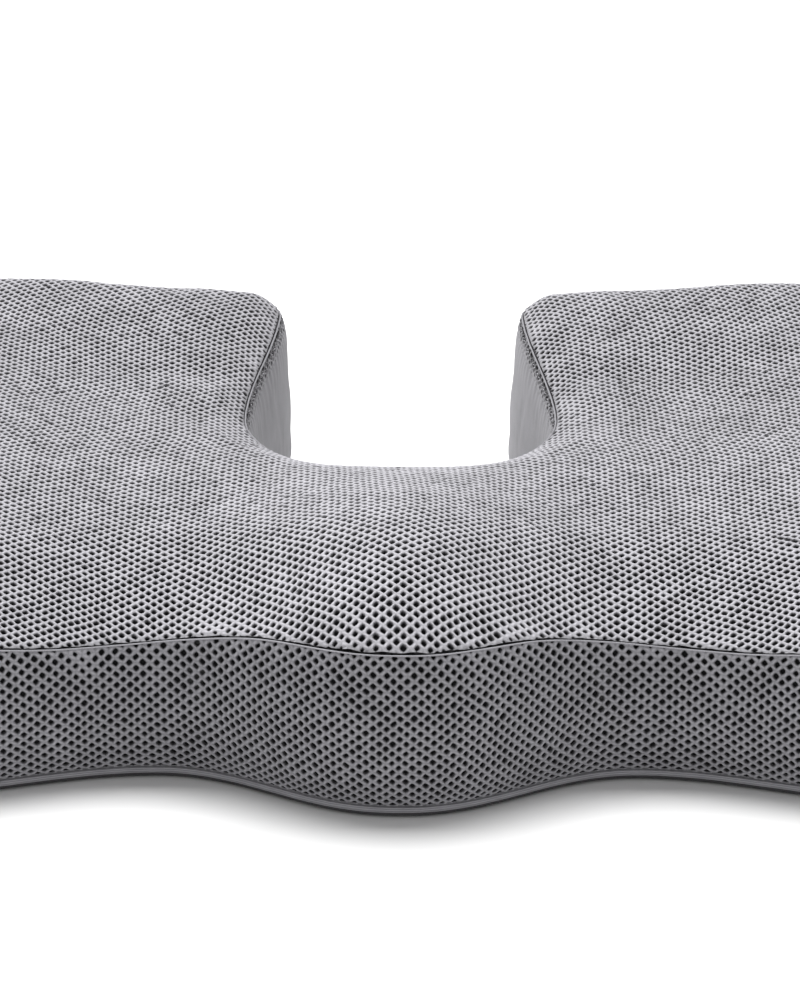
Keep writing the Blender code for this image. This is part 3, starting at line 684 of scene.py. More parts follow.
def worn_material(name, colour, roughness, metallic, low=0.85, high=1.12, bump=0.00002):
    m = Nodes(name, colour, roughness, metallic)
    lows, highs = tuple(c * low for c in colour), tuple(c * high for c in colour)
    m.colour(m.ramp(m.noise(320, 4), lows, highs, 0.3, 0.7))
    m.bump(m.noise(2600, 3), 0.35, bump)
    m.shader.inputs["Specular IOR Level"].default_value = 0.5
    return m.mat


THREAD = thread_material("air_mesh_thread", 0.030, 0.455)
FINE_THREAD = thread_material("cutout_mesh_thread", 0.020, 0.225)
BACKING_AND_PAINTED_SHADE = backing_material()
LINING = knit_material("cutout_lining", 0.172)
# The boxing's seam fold is painted lighter than the cut-out's fold: partly its own colour, partly a painted highlight
# where it catches the light from above.
FOLD_WITH_PAINTED_HIGHLIGHT = knit_material("seam_fold", 0.34, 0.8, 0.6)
BINDING = tape_material("binding_tape", 0.29, 0.85, 0.0003, True)
HEM = tape_material("zip_hem_tape", 0.20)
CUT_FOLD = knit_material("cutout_fold", 0.20, 0.8, 0.6)
STITCH = worn_material("sewing_thread", grey(0.16), 0.6, 0.0)
STITCH_LIGHT = worn_material("sewing_thread_light", grey(0.40), 0.6, 0.0)
BASE_CLOTH = weave_material("grip_base_cloth", 0.075, 0.9, 0.0002)
GRIP = worn_material("grip_dots", grey(0.018), 0.40, 0.0)
ZIP_TAPE = weave_material("zip_tape", 0.10, 0.55, 0.00012)
COIL = worn_material("zip_coil", grey(0.085), 0.4, 0.0)
METAL = worn_material("zip_metal", grey(0.10), 0.38, 0.75)
LABEL = weave_material("care_label", 0.46, 0.35, 0.00006, 0.0, 0.55, 0.93, 1.04)
# The inner sock is painted near-black as shade, so that it doesn't shine through the open mesh at the seams.
SOCK_PAINTED_SHADE = weave_material("inner_sock", 0.05, 0.9, 0.0001, 0.0)
FOAM = worn_material("memory_foam", (0.82, 0.76, 0.60), 0.9, 0.0, bump=0.0004)


# ================================================================ open mesh fabric: every hole is real
PITCH, ROW, SEAM_GAP = 4.82, 2.03, 0.60  # along a row, between staggered rows, and the top's edge from the seam


def lattice(name, u_range, v_range, place, mat, nodes, scale=(1.0, 1.0), hole=(0.224, 0.545), slot="air_mesh", closing=None, fade=None, edge=0.0):
    """Threads round staggered diamond holes. place(u, v) gives points, normals, the distance inside the panel's
    edges, and how puckered the cloth is."""
    pitch, row = PITCH * scale[0], ROW * scale[1]
    rows = np.arange(math.floor(v_range[0] / row) - 1, math.ceil(v_range[1] / row) + 2)
    columns = np.arange(math.floor(u_range[0] / pitch) - 1, math.ceil(u_range[1] / pitch) + 2)
    ii, jj = np.meshgrid(columns, rows)
    ii, jj = ii.ravel(), jj.ravel()
    key_x, key_y = 2 * (2 * ii + (jj % 2)), 2 * jj
    unit = np.array([pitch / 4, row / 2])
    centre = np.stack([key_x, key_y], 1) * unit
    _, _, inside, _ = place(centre[:, 0], centre[:, 1])
    keep = inside > -1.3
    key_x, key_y, centre, inside = key_x[keep], key_y[keep], centre[keep], inside[keep]
    ring = np.array([(2, 0), (1, 1), (0, 2), (-1, 1), (-2, 0), (-1, -1), (0, -2), (1, -1)])
    keys = (key_x[:, None] + ring[None, :, 0] + 20000) * 100000 + (key_y[:, None] + ring[None, :, 1] + 20000)
    unique, index = np.unique(keys, return_inverse=True)
    index = index.reshape(keys.shape)
    outer = np.stack([unique // 100000 - 20000, unique % 100000 - 20000], 1) * unit
    random = np.random.RandomState(len(unique) % 1000 + 7)
    crossing = (np.round(outer / unit)[:, 0] % 2) < 0.5
    outer = outer + random.normal(0, 0.06, outer.shape)
    _, _, _, rough = place(centre[:, 0], centre[:, 1])
    size = (1 + random.normal(0, 0.06, len(centre))) * (1 - 0.5 * np.clip(rough, 0, 1))
    size *= np.clip(0.62 + inside / 3.0, 0.40, 1.0)
    if closing is not None:
        size *= closing(centre[:, 0], centre[:, 1])
    angle = np.arange(8) * np.pi / 4
    shape = np.stack([np.sign(np.cos(angle)) * np.abs(np.cos(angle)) ** 1.45 * pitch * hole[0],
                      np.sign(np.sin(angle)) * np.abs(np.sin(angle)) ** 1.45 * row * hole[1]], 1)
    skew = random.normal(0, 0.11, (len(centre), 1))
    jitter = random.normal(0, 0.045, (len(centre), 8, 2))
    rings = []
    for grow, depth in ((1.30, 0.06), (1.0, -0.34), (0.95, -1.15)):
        ring = shape[None] * (size * grow + (0.10 if grow > 1.1 else 0.0))[:, None, None]
        ring = ring + jitter
        ring[..., 0] += skew * shape[None, :, 1] * 1.3
        rings.append(((centre[:, None] + ring).reshape(-1, 2), depth))
    lift = np.where(crossing, 0.02, 0.22) + random.normal(0, 0.03, len(outer))
    # Painted highlight and shade: the thread crests are painted light and the crossings darker, and the hole rings
    # (0.06) and hole walls (0.0) are painted near-black as shade; the material reads these tones as the 'rim'
    # attribute.
    flats, points, painted_light_tones = [outer], [], [np.where(crossing, 0.62, 1.0)]
    if closing is not None:
        shown = np.clip(closing(outer[:, 0], outer[:, 1]) * 1.6, 0, 1)
        painted_light_tones[0] = 0.72 + (painted_light_tones[0] - 0.72) * shown
    p, n, s, _ = place(outer[:, 0], outer[:, 1])
    # Painted shade: edge darkens the tones within about a millimetre of the panel's edge, in the seam's crease.
    painted_light_tones[0] = painted_light_tones[0] * (1 - edge * np.exp(-(np.maximum(s, 0) / 1.1) ** 2))
    points.append(p + n * (lift * np.clip(s / 2.0, 0, 1))[:, None])
    relief = None if closing is None else np.repeat(np.clip(closing(centre[:, 0], centre[:, 1]) * 1.6, 0, 1), 8)
    # Rings round each hole: painted light on the inner crest, painted shade on the hole ring and the hole wall.
    for (flat, depth), painted_tone in zip(rings, (0.60, 0.06, 0.0)):
        p, n, s, _ = place(flat[:, 0], flat[:, 1])
        deep = (depth + random.normal(0, 0.04, len(flat))) * np.clip(s / 2.0, 0, 1) ** (0.5 if depth < -1 else 1.0)
        deep = deep if relief is None else deep * relief
        points.append(p + n * deep[:, None])
        flats.append(flat)
        painted_tone = np.full(len(flat), painted_tone)
        # The same painted shade next to the panel's edge, on the rings.
        painted_tone = painted_tone * (1 - edge * np.exp(-(np.maximum(s, 0) / 1.1) ** 2))
        painted_light_tones.append(painted_tone if relief is None else 0.72 + (painted_tone - 0.72) * relief)
    points, flats, painted_light_tones = np.concatenate(points), np.concatenate(flats), np.concatenate(painted_light_tones)
    # Painted shade: fade darkens the tones by place.
    if fade is not None:
        painted_light_tones = painted_light_tones * fade(flats[:, 0], flats[:, 1])
    own = np.arange(len(centre) * 8).reshape(-1, 8)
    levels = [index] + [own + len(outer) + k * len(own) * 8 for k in range(3)]
    quads = np.concatenate([np.stack([a, np.roll(a, -1, 1), np.roll(b, -1, 1), b], -1).reshape(-1, 4) for a, b in zip(levels, levels[1:])])
    a, b, c, d = (points[quads[:, k]] for k in range(4))
    area = np.linalg.norm(np.cross(c - a, d - b), axis=1)
    quads = quads[area > 2e-3]
    used, remap = np.unique(quads, return_inverse=True)
    quads = remap.reshape(quads.shape)
    flat = flats[used]
    low, high = flat.min(0), flat.max(0)
    bake = 0.01 + 0.98 * (flat - low) / (high - low).max()
    obj = make_mesh(name, points[used], [quads], mat, bake=bake, floats={"rim": painted_light_tones[used]}, nodes=nodes, slot=slot)
    print(name, len(centre), "holes,", len(quads), "quads")
    return obj


def place_top(u, v):
    """Fabric coordinates to the top's surface, by arc length both ways, with the slow drift of hand-sewn cloth."""
    us = u + 1.5 * NOISE[4](u / 70 + 20, v / 70 + 9) + 0.45 * NOISE[5](u / 23 + 5, v / 23 + 31) + 0.22 * NOISE[1](u / 8 + 5, v / 8 + 31)
    vs = v + 1.5 * NOISE[6](u / 75 + 33, v / 75 + 2) + 0.40 * NOISE[7](u / 21 + 8, v / 21 + 40) + 0.20 * NOISE[3](u / 8 + 15, v / 8 + 3)
    stretch = np.interp(np.abs(us), (0, 50, 88, 124, 240), (0.16, 0.15, -0.02, -0.16, -0.10))
    forward_of = vs + 25
    vs = vs + stretch * (forward_of - np.logaddexp(0.0, forward_of / 8.0) * 8.0)
    x, y = us.copy(), vs + 100
    for turn in range(20):
        share = 0.9 if turn < 3 else 0.42
        x = np.clip(x + (us - linear(ARC_X, x, y)) * share, GX[0] + 3, GX[-1] - 3)
        y = np.clip(y + (vs - linear(ARC_Y, x, y)) * share, GY[0] + 3, GY[-1] - 3)
    signed, near, run, outward = to_seam(x, y)
    signed = signed - SEAM_GAP
    out = signed < 0
    near = near - outward * SEAM_GAP
    x, y = np.where(out, near[:, 0], x), np.where(out, near[:, 1], y)
    p, n = top_frame(x, y)
    s = np.maximum(signed, 0)
    p = p - np.array([0, 0, 1.0]) * (0.34 * np.exp(-(s / 1.0) ** 2))[:, None]
    pucker = np.clip(NOISE[0](run / 11.0 + 40, s / 40.0 + 3) * 1.6 - 0.55, 0, 1) * np.exp(-s / 9.0)
    return p, n, signed, pucker


def wall_surface(r, z, lift=0.0):
    """The simulated side wall with its puckers below the seam."""
    x, y, nx, ny, h = outline_at(r)
    p, n = wall_frame(r, z)
    below = np.maximum(h - z, 0)
    pucker = NOISE[8](r / 12.0 + 60, below / 40.0 + 7) * 0.45 + NOISE[9](r / 6.0 + 60, below / 25.0) * 0.2
    lazy = NOISE[10](r / 38.0 + 60, z / 38.0) * 0.35
    fade = np.clip((z - EDGE_Z) / 8.0, 0, 1) * np.clip(below / 6.0, 0, 1)
    flat = (np.abs(x) > 215) * (z < 24) * (y > 66) * (y < 300)
    out = held_out(wall_puff(r, z, h) + pucker * np.exp(-below / 13.0) + lazy) * fade * np.where(flat, np.clip((z - 20) / 4, 0, 1), 1.0)
    inner = (np.abs(r) > RUN_MOUTH + 8) * 1.3 * ease((z - EDGE_Z) / 2.5) * (ease((54 - z) / 34) + 1.1 * ease((26 - z) / 14))
    return p + n * (out + lift + inner)[..., None], n, h, below


CROWD_Z = np.linspace(EDGE_Z - 3, 90, 700)
CROWD = 1 - 0.52 * np.exp(-np.maximum(CROWD_Z - EDGE_Z, 0) / 5.0)
CROWD_V = np.concatenate([[0], np.cumsum(np.diff(CROWD_Z) / ((CROWD[1:] + CROWD[:-1]) / 2))])
CROWD_V -= np.interp(EDGE_Z, CROWD_Z, CROWD_V)


def place_wall(run_low, run_high, window=False):
    def place(u, v):
        us = u + 1.0 * NOISE[4](u / 60 + 60, v / 60 + 9) + 0.35 * NOISE[5](u / 21 + 60, v / 21 + 31) + 0.22 * NOISE[1](u / 8 + 60, v / 8 + 31)
        z = np.interp(v + 0.9 * NOISE[6](u / 66 + 60, v / 66 + 2) * np.clip(v / 10, 0, 1), CROWD_V, CROWD_Z)
        r = np.clip(us, run_low, run_high)
        h = outline_at(r)[4]
        side = np.minimum(us - run_low, run_high - us)
        above, under = h - 0.50 - z, z - EDGE_Z - 0.2
        signed = np.minimum(np.minimum(side, above), under)
        z = np.clip(z, EDGE_Z + 0.2, h - 0.50)
        if window:
            y = outline_at(r)[1]
            lows, highs = (WINDOW_Y0 - y, y - WINDOW_Y1), (WINDOW_Z0 - z, z - WINDOW_Z1)
            depth = -np.maximum(np.maximum(*lows), np.maximum(*highs))
            within = depth > 0
            along = np.minimum(y - WINDOW_Y0, WINDOW_Y1 - y)
            upright = np.minimum(z - WINDOW_Z0, WINDOW_Z1 - z)
            slide = within & (along < upright)
            move = np.where(y - WINDOW_Y0 < WINDOW_Y1 - y, WINDOW_Y0 - y, WINDOW_Y1 - y)
            r = r + np.where(slide, move, 0.0)
            z = np.where(within & ~slide, np.where(z - WINDOW_Z0 < WINDOW_Z1 - z, WINDOW_Z0, WINDOW_Z1), z)
            signed = np.minimum(signed, -depth)
        p, n, h, below = wall_surface(r, z)
        s = np.maximum(signed, 0)
        sink = 0.30 * np.exp(-(s / 0.8) ** 2)
        p = p - n * sink[:, None]
        pucker = np.clip(NOISE[8](r / 12.0 + 60, below / 40.0 + 7) * 1.6 - 0.6, 0, 1) * np.exp(-below / 10.0)
        return p, n, signed, pucker

    return place


# Painted shade: the top's threads darken towards the back (to 0.79 of the front) and next to the seam (edge), and the
# walls' threads are painted 0.82 times as light as the top's.
top = lattice("mesh_top_panel", (-262, 262), (-125, 300), place_top, THREAD, ("cover_top_panel",),
              fade=lambda u, v: np.interp(v, (-80, 110), (1.0, 0.79)), edge=0.5)
front = lattice("mesh_boxing_front", (-RUN_FLANK, RUN_FLANK), (-2, 80), place_wall(-RUN_FLANK, RUN_FLANK), THREAD, ("cover_boxing_front",), hole=(0.213, 0.525), fade=lambda u, v: 0.82)
right = lattice("mesh_boxing_right", (RUN_FLANK, RUN_MOUTH), (-2, 92), place_wall(RUN_FLANK + 0.3, RUN_MOUTH, True), THREAD, ("cover_boxing_right",), hole=(0.213, 0.525), fade=lambda u, v: 0.82)
left = lattice("mesh_boxing_left", (-RUN_MOUTH, -RUN_FLANK), (-2, 92), place_wall(-RUN_MOUTH, -RUN_FLANK - 0.3), THREAD, ("cover_boxing_left",), hole=(0.213, 0.525), fade=lambda u, v: 0.82)


# ---------------------------------------------------------------- near-black back face of the spacer mesh: partly its own colour, partly painted shade in the holes
def sheet_of(name, p, mat, cloth=None, wrap=False, bake=None, **facts):
    rows, columns = p.shape[:2]
    quads = grid_quads(rows, columns)
    return make_mesh(name, p.reshape(-1, 3), [quads], mat, cloth=cloth, bake=bake, **facts)


grid, _, _, _ = coons(130, 44)
plane = np.concatenate([grid[::-1, :, :] * (-1, 1), grid[1:]], 0)
px, py = plane[..., 0].ravel(), plane[..., 1].ravel()
p, n = top_frame(px, py)
signed = to_seam(px, py)[0]
depth = 1.42 + 0.30 * np.exp(-(np.maximum(signed, 0) / 2.0) ** 2)
back_points = (p - n * depth[:, None]).reshape(*plane.shape[:2], 3)
spread = np.stack([(px - px.min()) / (px.max() - px.min()), (py - py.min()) / (px.max() - px.min())], 1) * 0.98 + 0.01
quads = grid_quads(plane.shape[0], plane.shape[1])[:, ::-1]
back_top = make_mesh("mesh_top_backing", back_points.reshape(-1, 3), [quads], BACKING_AND_PAINTED_SHADE, bake=spread, slot="air_mesh")


def wall_strip(name, low, high, step, depth, mat, z_low, z_gap, levels, cloth=True, pleats=False, slot="air_mesh", nodes=()):
    r = np.linspace(low, high, int((high - low) / step) + 2)
    share = np.linspace(0, 1, levels)
    h = outline_at(r)[4]
    z = z_low + (h[:, None] - z_gap - z_low) * share[None]
    rr = np.broadcast_to(r[:, None], z.shape)
    p, n, hh, below = wall_surface(rr, z)
    d = depth(rr, z, below) if callable(depth) else np.full(z.shape, float(depth))
    p = p - n * d[..., None]
    uv = np.stack([rr, z], -1).reshape(-1, 2)
    bake = 0.01 + 0.98 * (uv - uv.min(0)) / (uv.max(0) - uv.min(0)).max()
    quads = grid_quads(*z.shape)[:, ::-1]
    return make_mesh(name, p.reshape(-1, 3), [quads], mat, bake=bake, cloth=uv, slot=slot, nodes=nodes)


def back_depth(r, z, below):
    x, y = outline_at(r)[:2]
    window = (x > 215) * ease((y - 68) / 6) * ease((294 - y) / 6) * ease((z - 5) / 1.5) * ease((21 - z) / 1.5)
    return 1.42 + 0.8 * window + 0.25 * np.exp(-(below / 2.0) ** 2)


back_front = wall_strip("mesh_front_backing", -RUN_FLANK, RUN_FLANK, 3.0, back_depth, BACKING_AND_PAINTED_SHADE, 3.0, 0.4, 22)
back_right = wall_strip("mesh_right_backing", RUN_FLANK, RUN_MOUTH, 3.0, back_depth, BACKING_AND_PAINTED_SHADE, 3.0, 0.4, 26)
back_left = wall_strip("mesh_left_backing", -RUN_MOUTH, -RUN_FLANK, 3.0, back_depth, BACKING_AND_PAINTED_SHADE, 3.0, 0.4, 26)


# ---------------------------------------------------------------- lining of the cut-out, with pleats under its seam
def pleats(r, z, below):
    fan = np.sin(2 * np.pi * r / 5.2 + 2.4 * NOISE[3](r / 17 + 60, below / 30)) * 0.46 + NOISE[1](r / 3.4 + 60, below / 9) * 0.25
    up = np.exp(-below / 6.5)
    tail = np.exp(-np.maximum(z - EDGE_Z, 0) / 5.0) * 0.35
    return -(fan * (up + tail)) + 1.2 * np.exp(-(below / 4.2) ** 2)


lining = []
for side, (low, high) in (("wall", (RUN_MOUTH, 2 * FULL - RUN_MOUTH)),):
    r = np.linspace(low, high, int((high - low) / 0.9))
    signed_r = np.where(r > FULL, r - 2 * FULL, r)
    share = np.linspace(0, 1, 66)
    h = outline_at(signed_r)[4]
    z = EDGE_Z - 1.0 + (h[:, None] - 0.75 - EDGE_Z + 1.0) * share[None]
    rr = np.broadcast_to(signed_r[:, None], z.shape)
    p, n, hh, below = wall_surface(rr, z)
    p = p - n * pleats(np.broadcast_to(r[:, None], z.shape), z, below)[..., None]
    uv = np.stack([np.broadcast_to(r[:, None], z.shape), z], -1).reshape(-1, 2)
    bake = 0.01 + 0.98 * (uv - uv.min(0)) / (uv.max(0) - uv.min(0)).max()
    wall = make_mesh("cutout_lining", p.reshape(-1, 3), [grid_quads(*z.shape)[:, ::-1]], LINING, bake=bake, cloth=uv,
                     nodes=("cover_cutout_wall",), slot="lining")


def place_lining(u, v):
    r = np.where(u > FULL, u - 2 * FULL, u)
    h = outline_at(r)[4]
    signed = np.minimum(-v - 0.45, v + 7.2)
    z = h - np.clip(-v, 0.45, 7.2)
    p, n, _, below = wall_surface(r, z)
    fan = pleats(u, z, below) - 1.2 * np.exp(-(below / 4.2) ** 2)
    p = p + n * (0.16 * np.clip((7.2 - below) / 3, 0, 1) - fan * 0.8)[:, None]
    return p, n, np.minimum(signed, 3.0 + 0 * signed), 0 * u


lattice("cutout_mesh_band", (RUN_MOUTH, 2 * FULL - RUN_MOUTH), (-8, 0), place_lining, FINE_THREAD, (), scale=(0.80, 0.80),
        hole=(0.32, 0.62), slot="lining", closing=lambda u, v: np.clip(1.5 + v / 5.5, 0.10, 1.0))


# ---------------------------------------------------------------- tubes, bands and stitches that follow a line
def sweep(name, centre, outward, up, profile, mat, closed_path, closed_profile=True, **facts):
    p = centre[:, None] + outward[:, None] * profile[None, :, 0, None] + up[:, None] * profile[None, :, 1, None]
    rows, columns = p.shape[:2]
    k = np.arange(rows * columns).reshape(rows, columns)
    kk = np.concatenate([k, k[:1]], 0) if closed_path else k
    kk = np.concatenate([kk, kk[:, :1]], 1) if closed_profile else kk
    quads = np.stack([kk[:-1, :-1], kk[1:, :-1], kk[1:, 1:], kk[:-1, 1:]], -1).reshape(-1, 4)
    along = np.concatenate([[0], np.cumsum(np.linalg.norm(np.diff(centre, axis=0), axis=1))])
    around = np.concatenate([[0], np.cumsum(np.linalg.norm(np.diff(profile, axis=0), axis=1))])
    uv = np.stack(np.broadcast_arrays(along[:, None], around[None]), -1).reshape(-1, 2)
    return make_mesh(name, p.reshape(-1, 3), [quads], mat, cloth=uv, **facts)


def tube_profile(a, b, count=8):
    t = -np.arange(count) * 2 * np.pi / count
    return np.stack([a * np.cos(t), b * np.sin(t)], 1)


UP = np.array([0, 0, 1.0])

# The seam round the top: the boxing's folded edge stands just below it
runs = np.arange(-FULL, FULL, 1.6)
x, y, nx, ny, h = outline_at(runs)
cut = np.abs(runs) > RUN_MOUTH
p, n, _, _ = wall_surface(runs, h - 0.50)
wobble = 0.10 * NOISE[2](runs / 4.0 + 90, runs * 0)
for name, mask, radius, mat, slot in (("boxing_seam_fold", ~cut, (0.30, 0.30), FOLD_WITH_PAINTED_HIGHLIGHT, "air_mesh"),):
    c = p[mask] + n[mask] * (wobble[mask] * 1.3 - 0.10)[:, None]
    sweep(name, c, n[mask], np.broadcast_to(UP, c.shape), tube_profile(*radius), mat, False, slot=slot)
runs2 = np.arange(RUN_MOUTH, 2 * FULL - RUN_MOUTH, 1.3)
signed2 = np.where(runs2 > FULL, runs2 - 2 * FULL, runs2)
x, y, nx, ny, h = outline_at(signed2)
p, n, _, _ = wall_surface(signed2, h - 0.60)
c = p + n * (0.10 * NOISE[2](runs2 / 4.0, runs2 * 0) - 0.10)[:, None]
sweep("cutout_seam_roll", c, n, np.broadcast_to(UP, c.shape), tube_profile(0.42, 0.42, 10), CUT_FOLD, False, slot="lining")

# A dark tube between the two folds, all the way round: a painted shadow standing in for the seam's gap
runs3 = np.arange(-FULL, FULL, 1.7)
x, y, nx, ny, h = outline_at(runs3)
side = np.stack([nx, ny, 0 * nx], -1)
c = np.stack([x, y, h], -1) - side * (INSET_SEAM + 0.75) - UP * 0.70
sweep("seam_slot", c, side, np.broadcast_to(UP, c.shape), tube_profile(0.60, 0.52), BACKING_AND_PAINTED_SHADE, True, slot="air_mesh")

# Upright seams between the boxing strips and at the mouth of the cut-out
for name, r0 in (("upright_seam_right", RUN_FLANK), ("upright_seam_left", -RUN_FLANK), ("mouth_seam_right", RUN_MOUTH), ("mouth_seam_left", -RUN_MOUTH)):
    h = float(outline_at(np.array([r0]))[4][0])
    z = np.linspace(EDGE_Z, h - 0.6, 46)
    p, n, _, _ = wall_surface(np.full_like(z, r0), z)
    side = np.cross(n, UP)
    side /= np.linalg.norm(side, axis=1)[:, None]
    sweep(name, p - n * 0.35, n, side, tube_profile(0.50, 0.50), CUT_FOLD, False, slot="air_mesh")


def stitches(name, r, z, length, radius, mat, lift, lean=0.0, slot="binding"):
    """Short sunk-in stitches along the wall, one per run given."""
    ring = 6
    t = np.linspace(-0.5, 0.5, 5)
    angle = np.arange(ring) * 2 * np.pi / ring
    swell = np.array([0.45, 0.95, 1.0, 0.95, 0.45])
    arch = np.array([-0.28, 0.0, 0.08, 0.0, -0.28])
    rr = (r[:, None] + t[None] * length)
    zz = z[:, None] + t[None] * lean
    flat = np.where(rr > FULL, rr - 2 * FULL, rr)
    p, n, _, _ = wall_surface(flat, zz)
    p = p + n * (lift + arch)[None, :, None]
    p = p[:, :, None] + radius * swell[None, :, None, None] * (n[:, :, None] * np.cos(angle)[None, None, :, None] + UP * np.sin(angle)[None, None, :, None])
    count = len(r)
    k = np.arange(count * 5 * ring).reshape(count, 5, ring)
    kn = np.roll(k, -1, 2)
    quads = np.stack([k[:, :-1], k[:, 1:], kn[:, 1:], kn[:, :-1]], -1).reshape(-1, 4)
    return make_mesh(name, p.reshape(-1, 3), [quads], mat, slot=slot)


# ---------------------------------------------------------------- binding round the foot
runs = np.arange(-FULL, FULL, 2.2)
x, y, nx, ny, h = outline_at(runs)
outward = np.stack([nx, ny, 0 * nx], -1)
widest = np.stack([x, y, 0 * x], -1)
edge = inset_at(x, y, h, np.full_like(x, EDGE_Z))
wave = 0.12 * NOISE[5](runs / 9.0 + 60, runs * 0 + 3)
section = [(-5.9, 2.30), (-4.9, 2.18), (-4.3, 2.28), (-3.95, 2.70), (-3.82, 3.2), (-3.88, 3.75), (-4.1, 4.25), (-4.6, 4.5), (-5.6, 4.6)]
shift = INSET_EDGE - edge


def around_foot(name, section, mat, slot, nodes=()):
    profile = np.array(section)
    p = widest[:, None] + outward[:, None] * (profile[None, :, 0, None] + 0.55 + (shift + wave)[:, None, None] * np.clip(profile[:, 1] / 4, 0, 1)[None, :, None]) + UP * profile[None, :, 1, None]
    rows, columns = p.shape[:2]
    k = np.arange(rows * columns).reshape(rows, columns)
    kk = np.concatenate([k, k[:1]], 0)
    quads = np.stack([kk[:-1, :-1], kk[1:, :-1], kk[1:, 1:], kk[:-1, 1:]], -1).reshape(-1, 4)
    around = np.concatenate([[0], np.cumsum(np.linalg.norm(np.diff(profile, axis=0), axis=1))])
    uv = np.stack(np.broadcast_arrays(runs[:, None], around[None]), -1).reshape(-1, 2)
    return make_mesh(name, p.reshape(-1, 3), [quads], mat, cloth=uv, nodes=nodes, slot=slot)


binding = around_foot("foot_binding", section, BINDING, "binding", ("base_edge_binding",))
# The dark base cloth turned up below the binding: partly the base cloth, partly a painted shadow line standing in for
# the dark core of the contact shadow.
around_foot("grip_base_turnup", [(-9.6, 0.62), (-8.2, 0.35), (-6.8, 0.25), (-5.9, 0.45), (-5.2, 0.95), (-4.9, 1.7), (-5.0, 2.5)], BASE_CLOTH, "anti_slip")
line = np.arange(-FULL + 1.5, FULL - 1.5, 3.1)
stitches("binding_stitches", line, np.full_like(line, 5.35), 2.4, 0.20, STITCH, -0.05)

# Topstitching beside the cut-out's seam, on the lining
line = np.arange(RUN_MOUTH + 2, 2 * FULL - RUN_MOUTH - 2, 2.9)
folded = np.where(line > FULL, line - 2 * FULL, line)
stitches("cutout_stitches", line, outline_at(folded)[4] - 3.1, 2.0, 0.20, STITCH_LIGHT, 0.02, slot="lining")

# ---------------------------------------------------------------- underside with its grip dots
def base_grid(stations, shares):
    outer_r = np.linspace(0, RUN_BACK_CORNER, stations)
    v = np.linspace(0, 1, shares)
    table_out, table_in = (0, 110, 222, 268, 335, 440, 496, 516, 531), (0, 40, 82, 100, 118, 168, 190, 198, 205)
    inner_r = FULL - (FULL - RUN_MOUTH) / 205 * np.interp(outer_r / RUN_BACK_CORNER * 531, table_out, table_in)
    back_r = RUN_MOUTH + (RUN_BACK_CORNER - RUN_MOUTH) * v

    def line(r):
        x, y, nx, ny, h = outline_at(r)
        return np.stack([x - nx * 7.0, y - ny * 7.0], -1)

    outer, inner, back = line(outer_r), line(inner_r), line(back_r)
    centre = inner[0] * (1 - v)[:, None] + outer[0] * v[:, None]
    u, v = np.linspace(0, 1, stations)[:, None, None], v[None, :, None]
    grid = (inner[:, None] * (1 - v) + outer[:, None] * v + centre[None] * (1 - u) + back[None] * u
            - inner[0] * (1 - u) * (1 - v) - outer[0] * (1 - u) * v - inner[-1] * u * (1 - v) - outer[-1] * u * v)
    grid[0, :, 0] = 0.0
    return grid


plane = base_grid(90, 34)
plane = np.concatenate([plane[::-1] * (-1, 1), plane[1:]], 0)
z = 0.62 + 0.10 * NOISE[2](plane[..., 0] / 30 + 60, plane[..., 1] / 30)
points = np.concatenate([plane, z[..., None]], -1)
flat = plane.reshape(-1, 2)
bake = 0.01 + 0.98 * (flat - flat.min(0)) / (flat.max(0) - flat.min(0)).max()
base = make_mesh("grip_base", points.reshape(-1, 3), [grid_quads(*plane.shape[:2])], BASE_CLOTH, bake=bake, nodes=("cover_base_panel",), slot="anti_slip")
dots_x, dots_y = np.meshgrid(np.arange(-27, 28), np.arange(0, 53))
dx = (dots_x + 0.5 * (dots_y % 2)).ravel() * 8.0
dy = dots_y.ravel() * 6.93 + 4
signed = to_seam(dx, dy)[0]
dx, dy = dx[signed > 9.5], dy[signed > 9.5]
angle = np.arange(10) * 2 * np.pi / 10
rings = [(1.55, 0.75), (1.40, 0.30), (0.85, 0.02)]
dome = np.concatenate([np.stack([r * np.cos(angle), r * np.sin(angle), np.full(10, z)], -1) for r, z in rings] + [np.array([[0, 0, 0.0]])])
points = dome[None] + np.stack([dx, dy, 0 * dx], -1)[:, None]
count = len(dx)
k = np.arange(count * 31).reshape(count, 31)
quads, tris = [], []
for ring in range(2):
    a, b = k[:, ring * 10:ring * 10 + 10], k[:, ring * 10 + 10:ring * 10 + 20]
    quads.append(np.stack([a, b, np.roll(b, -1, 1), np.roll(a, -1, 1)], -1).reshape(-1, 4))
last = k[:, 20:30]
tris = np.stack([last, np.broadcast_to(k[:, 30:31], last.shape), np.roll(last, -1, 1)], -1).reshape(-1, 3)
make_mesh("grip_dots", points.reshape(-1, 3), [np.concatenate(quads), tris], GRIP, slot="anti_slip")

# ---------------------------------------------------------------- zip
FLANK_X = HALF - INSET_FLANK
COIL_X, COIL_T, COIL_W, LANE = FLANK_X - 0.1, 2.1, 2.65, 0.55


def hem_path():
    """Rounded rectangle just outside the zip's window, on the flank."""
    y0, y1, z0, z1, c = WINDOW_Y0 - 0.2, WINDOW_Y1 + 0.2, WINDOW_Z0 - 0.2, WINDOW_Z1 + 0.2, 1.2
    corners = [(y0 + c, z0), (y1 - c, z0), (y1, z0 + c), (y1, z1 - c), (y1 - c, z1), (y0 + c, z1), (y0, z1 - c), (y0, z0 + c)]
    points = []
    for (a, b), (d, e) in zip(corners, corners[1:] + corners[:1]):
        steps = max(2, int(math.hypot(d - a, e - b) / 2))
        points += [(a + (d - a) * t / steps, b + (e - b) * t / steps) for t in range(steps)]
    return np.array(points)


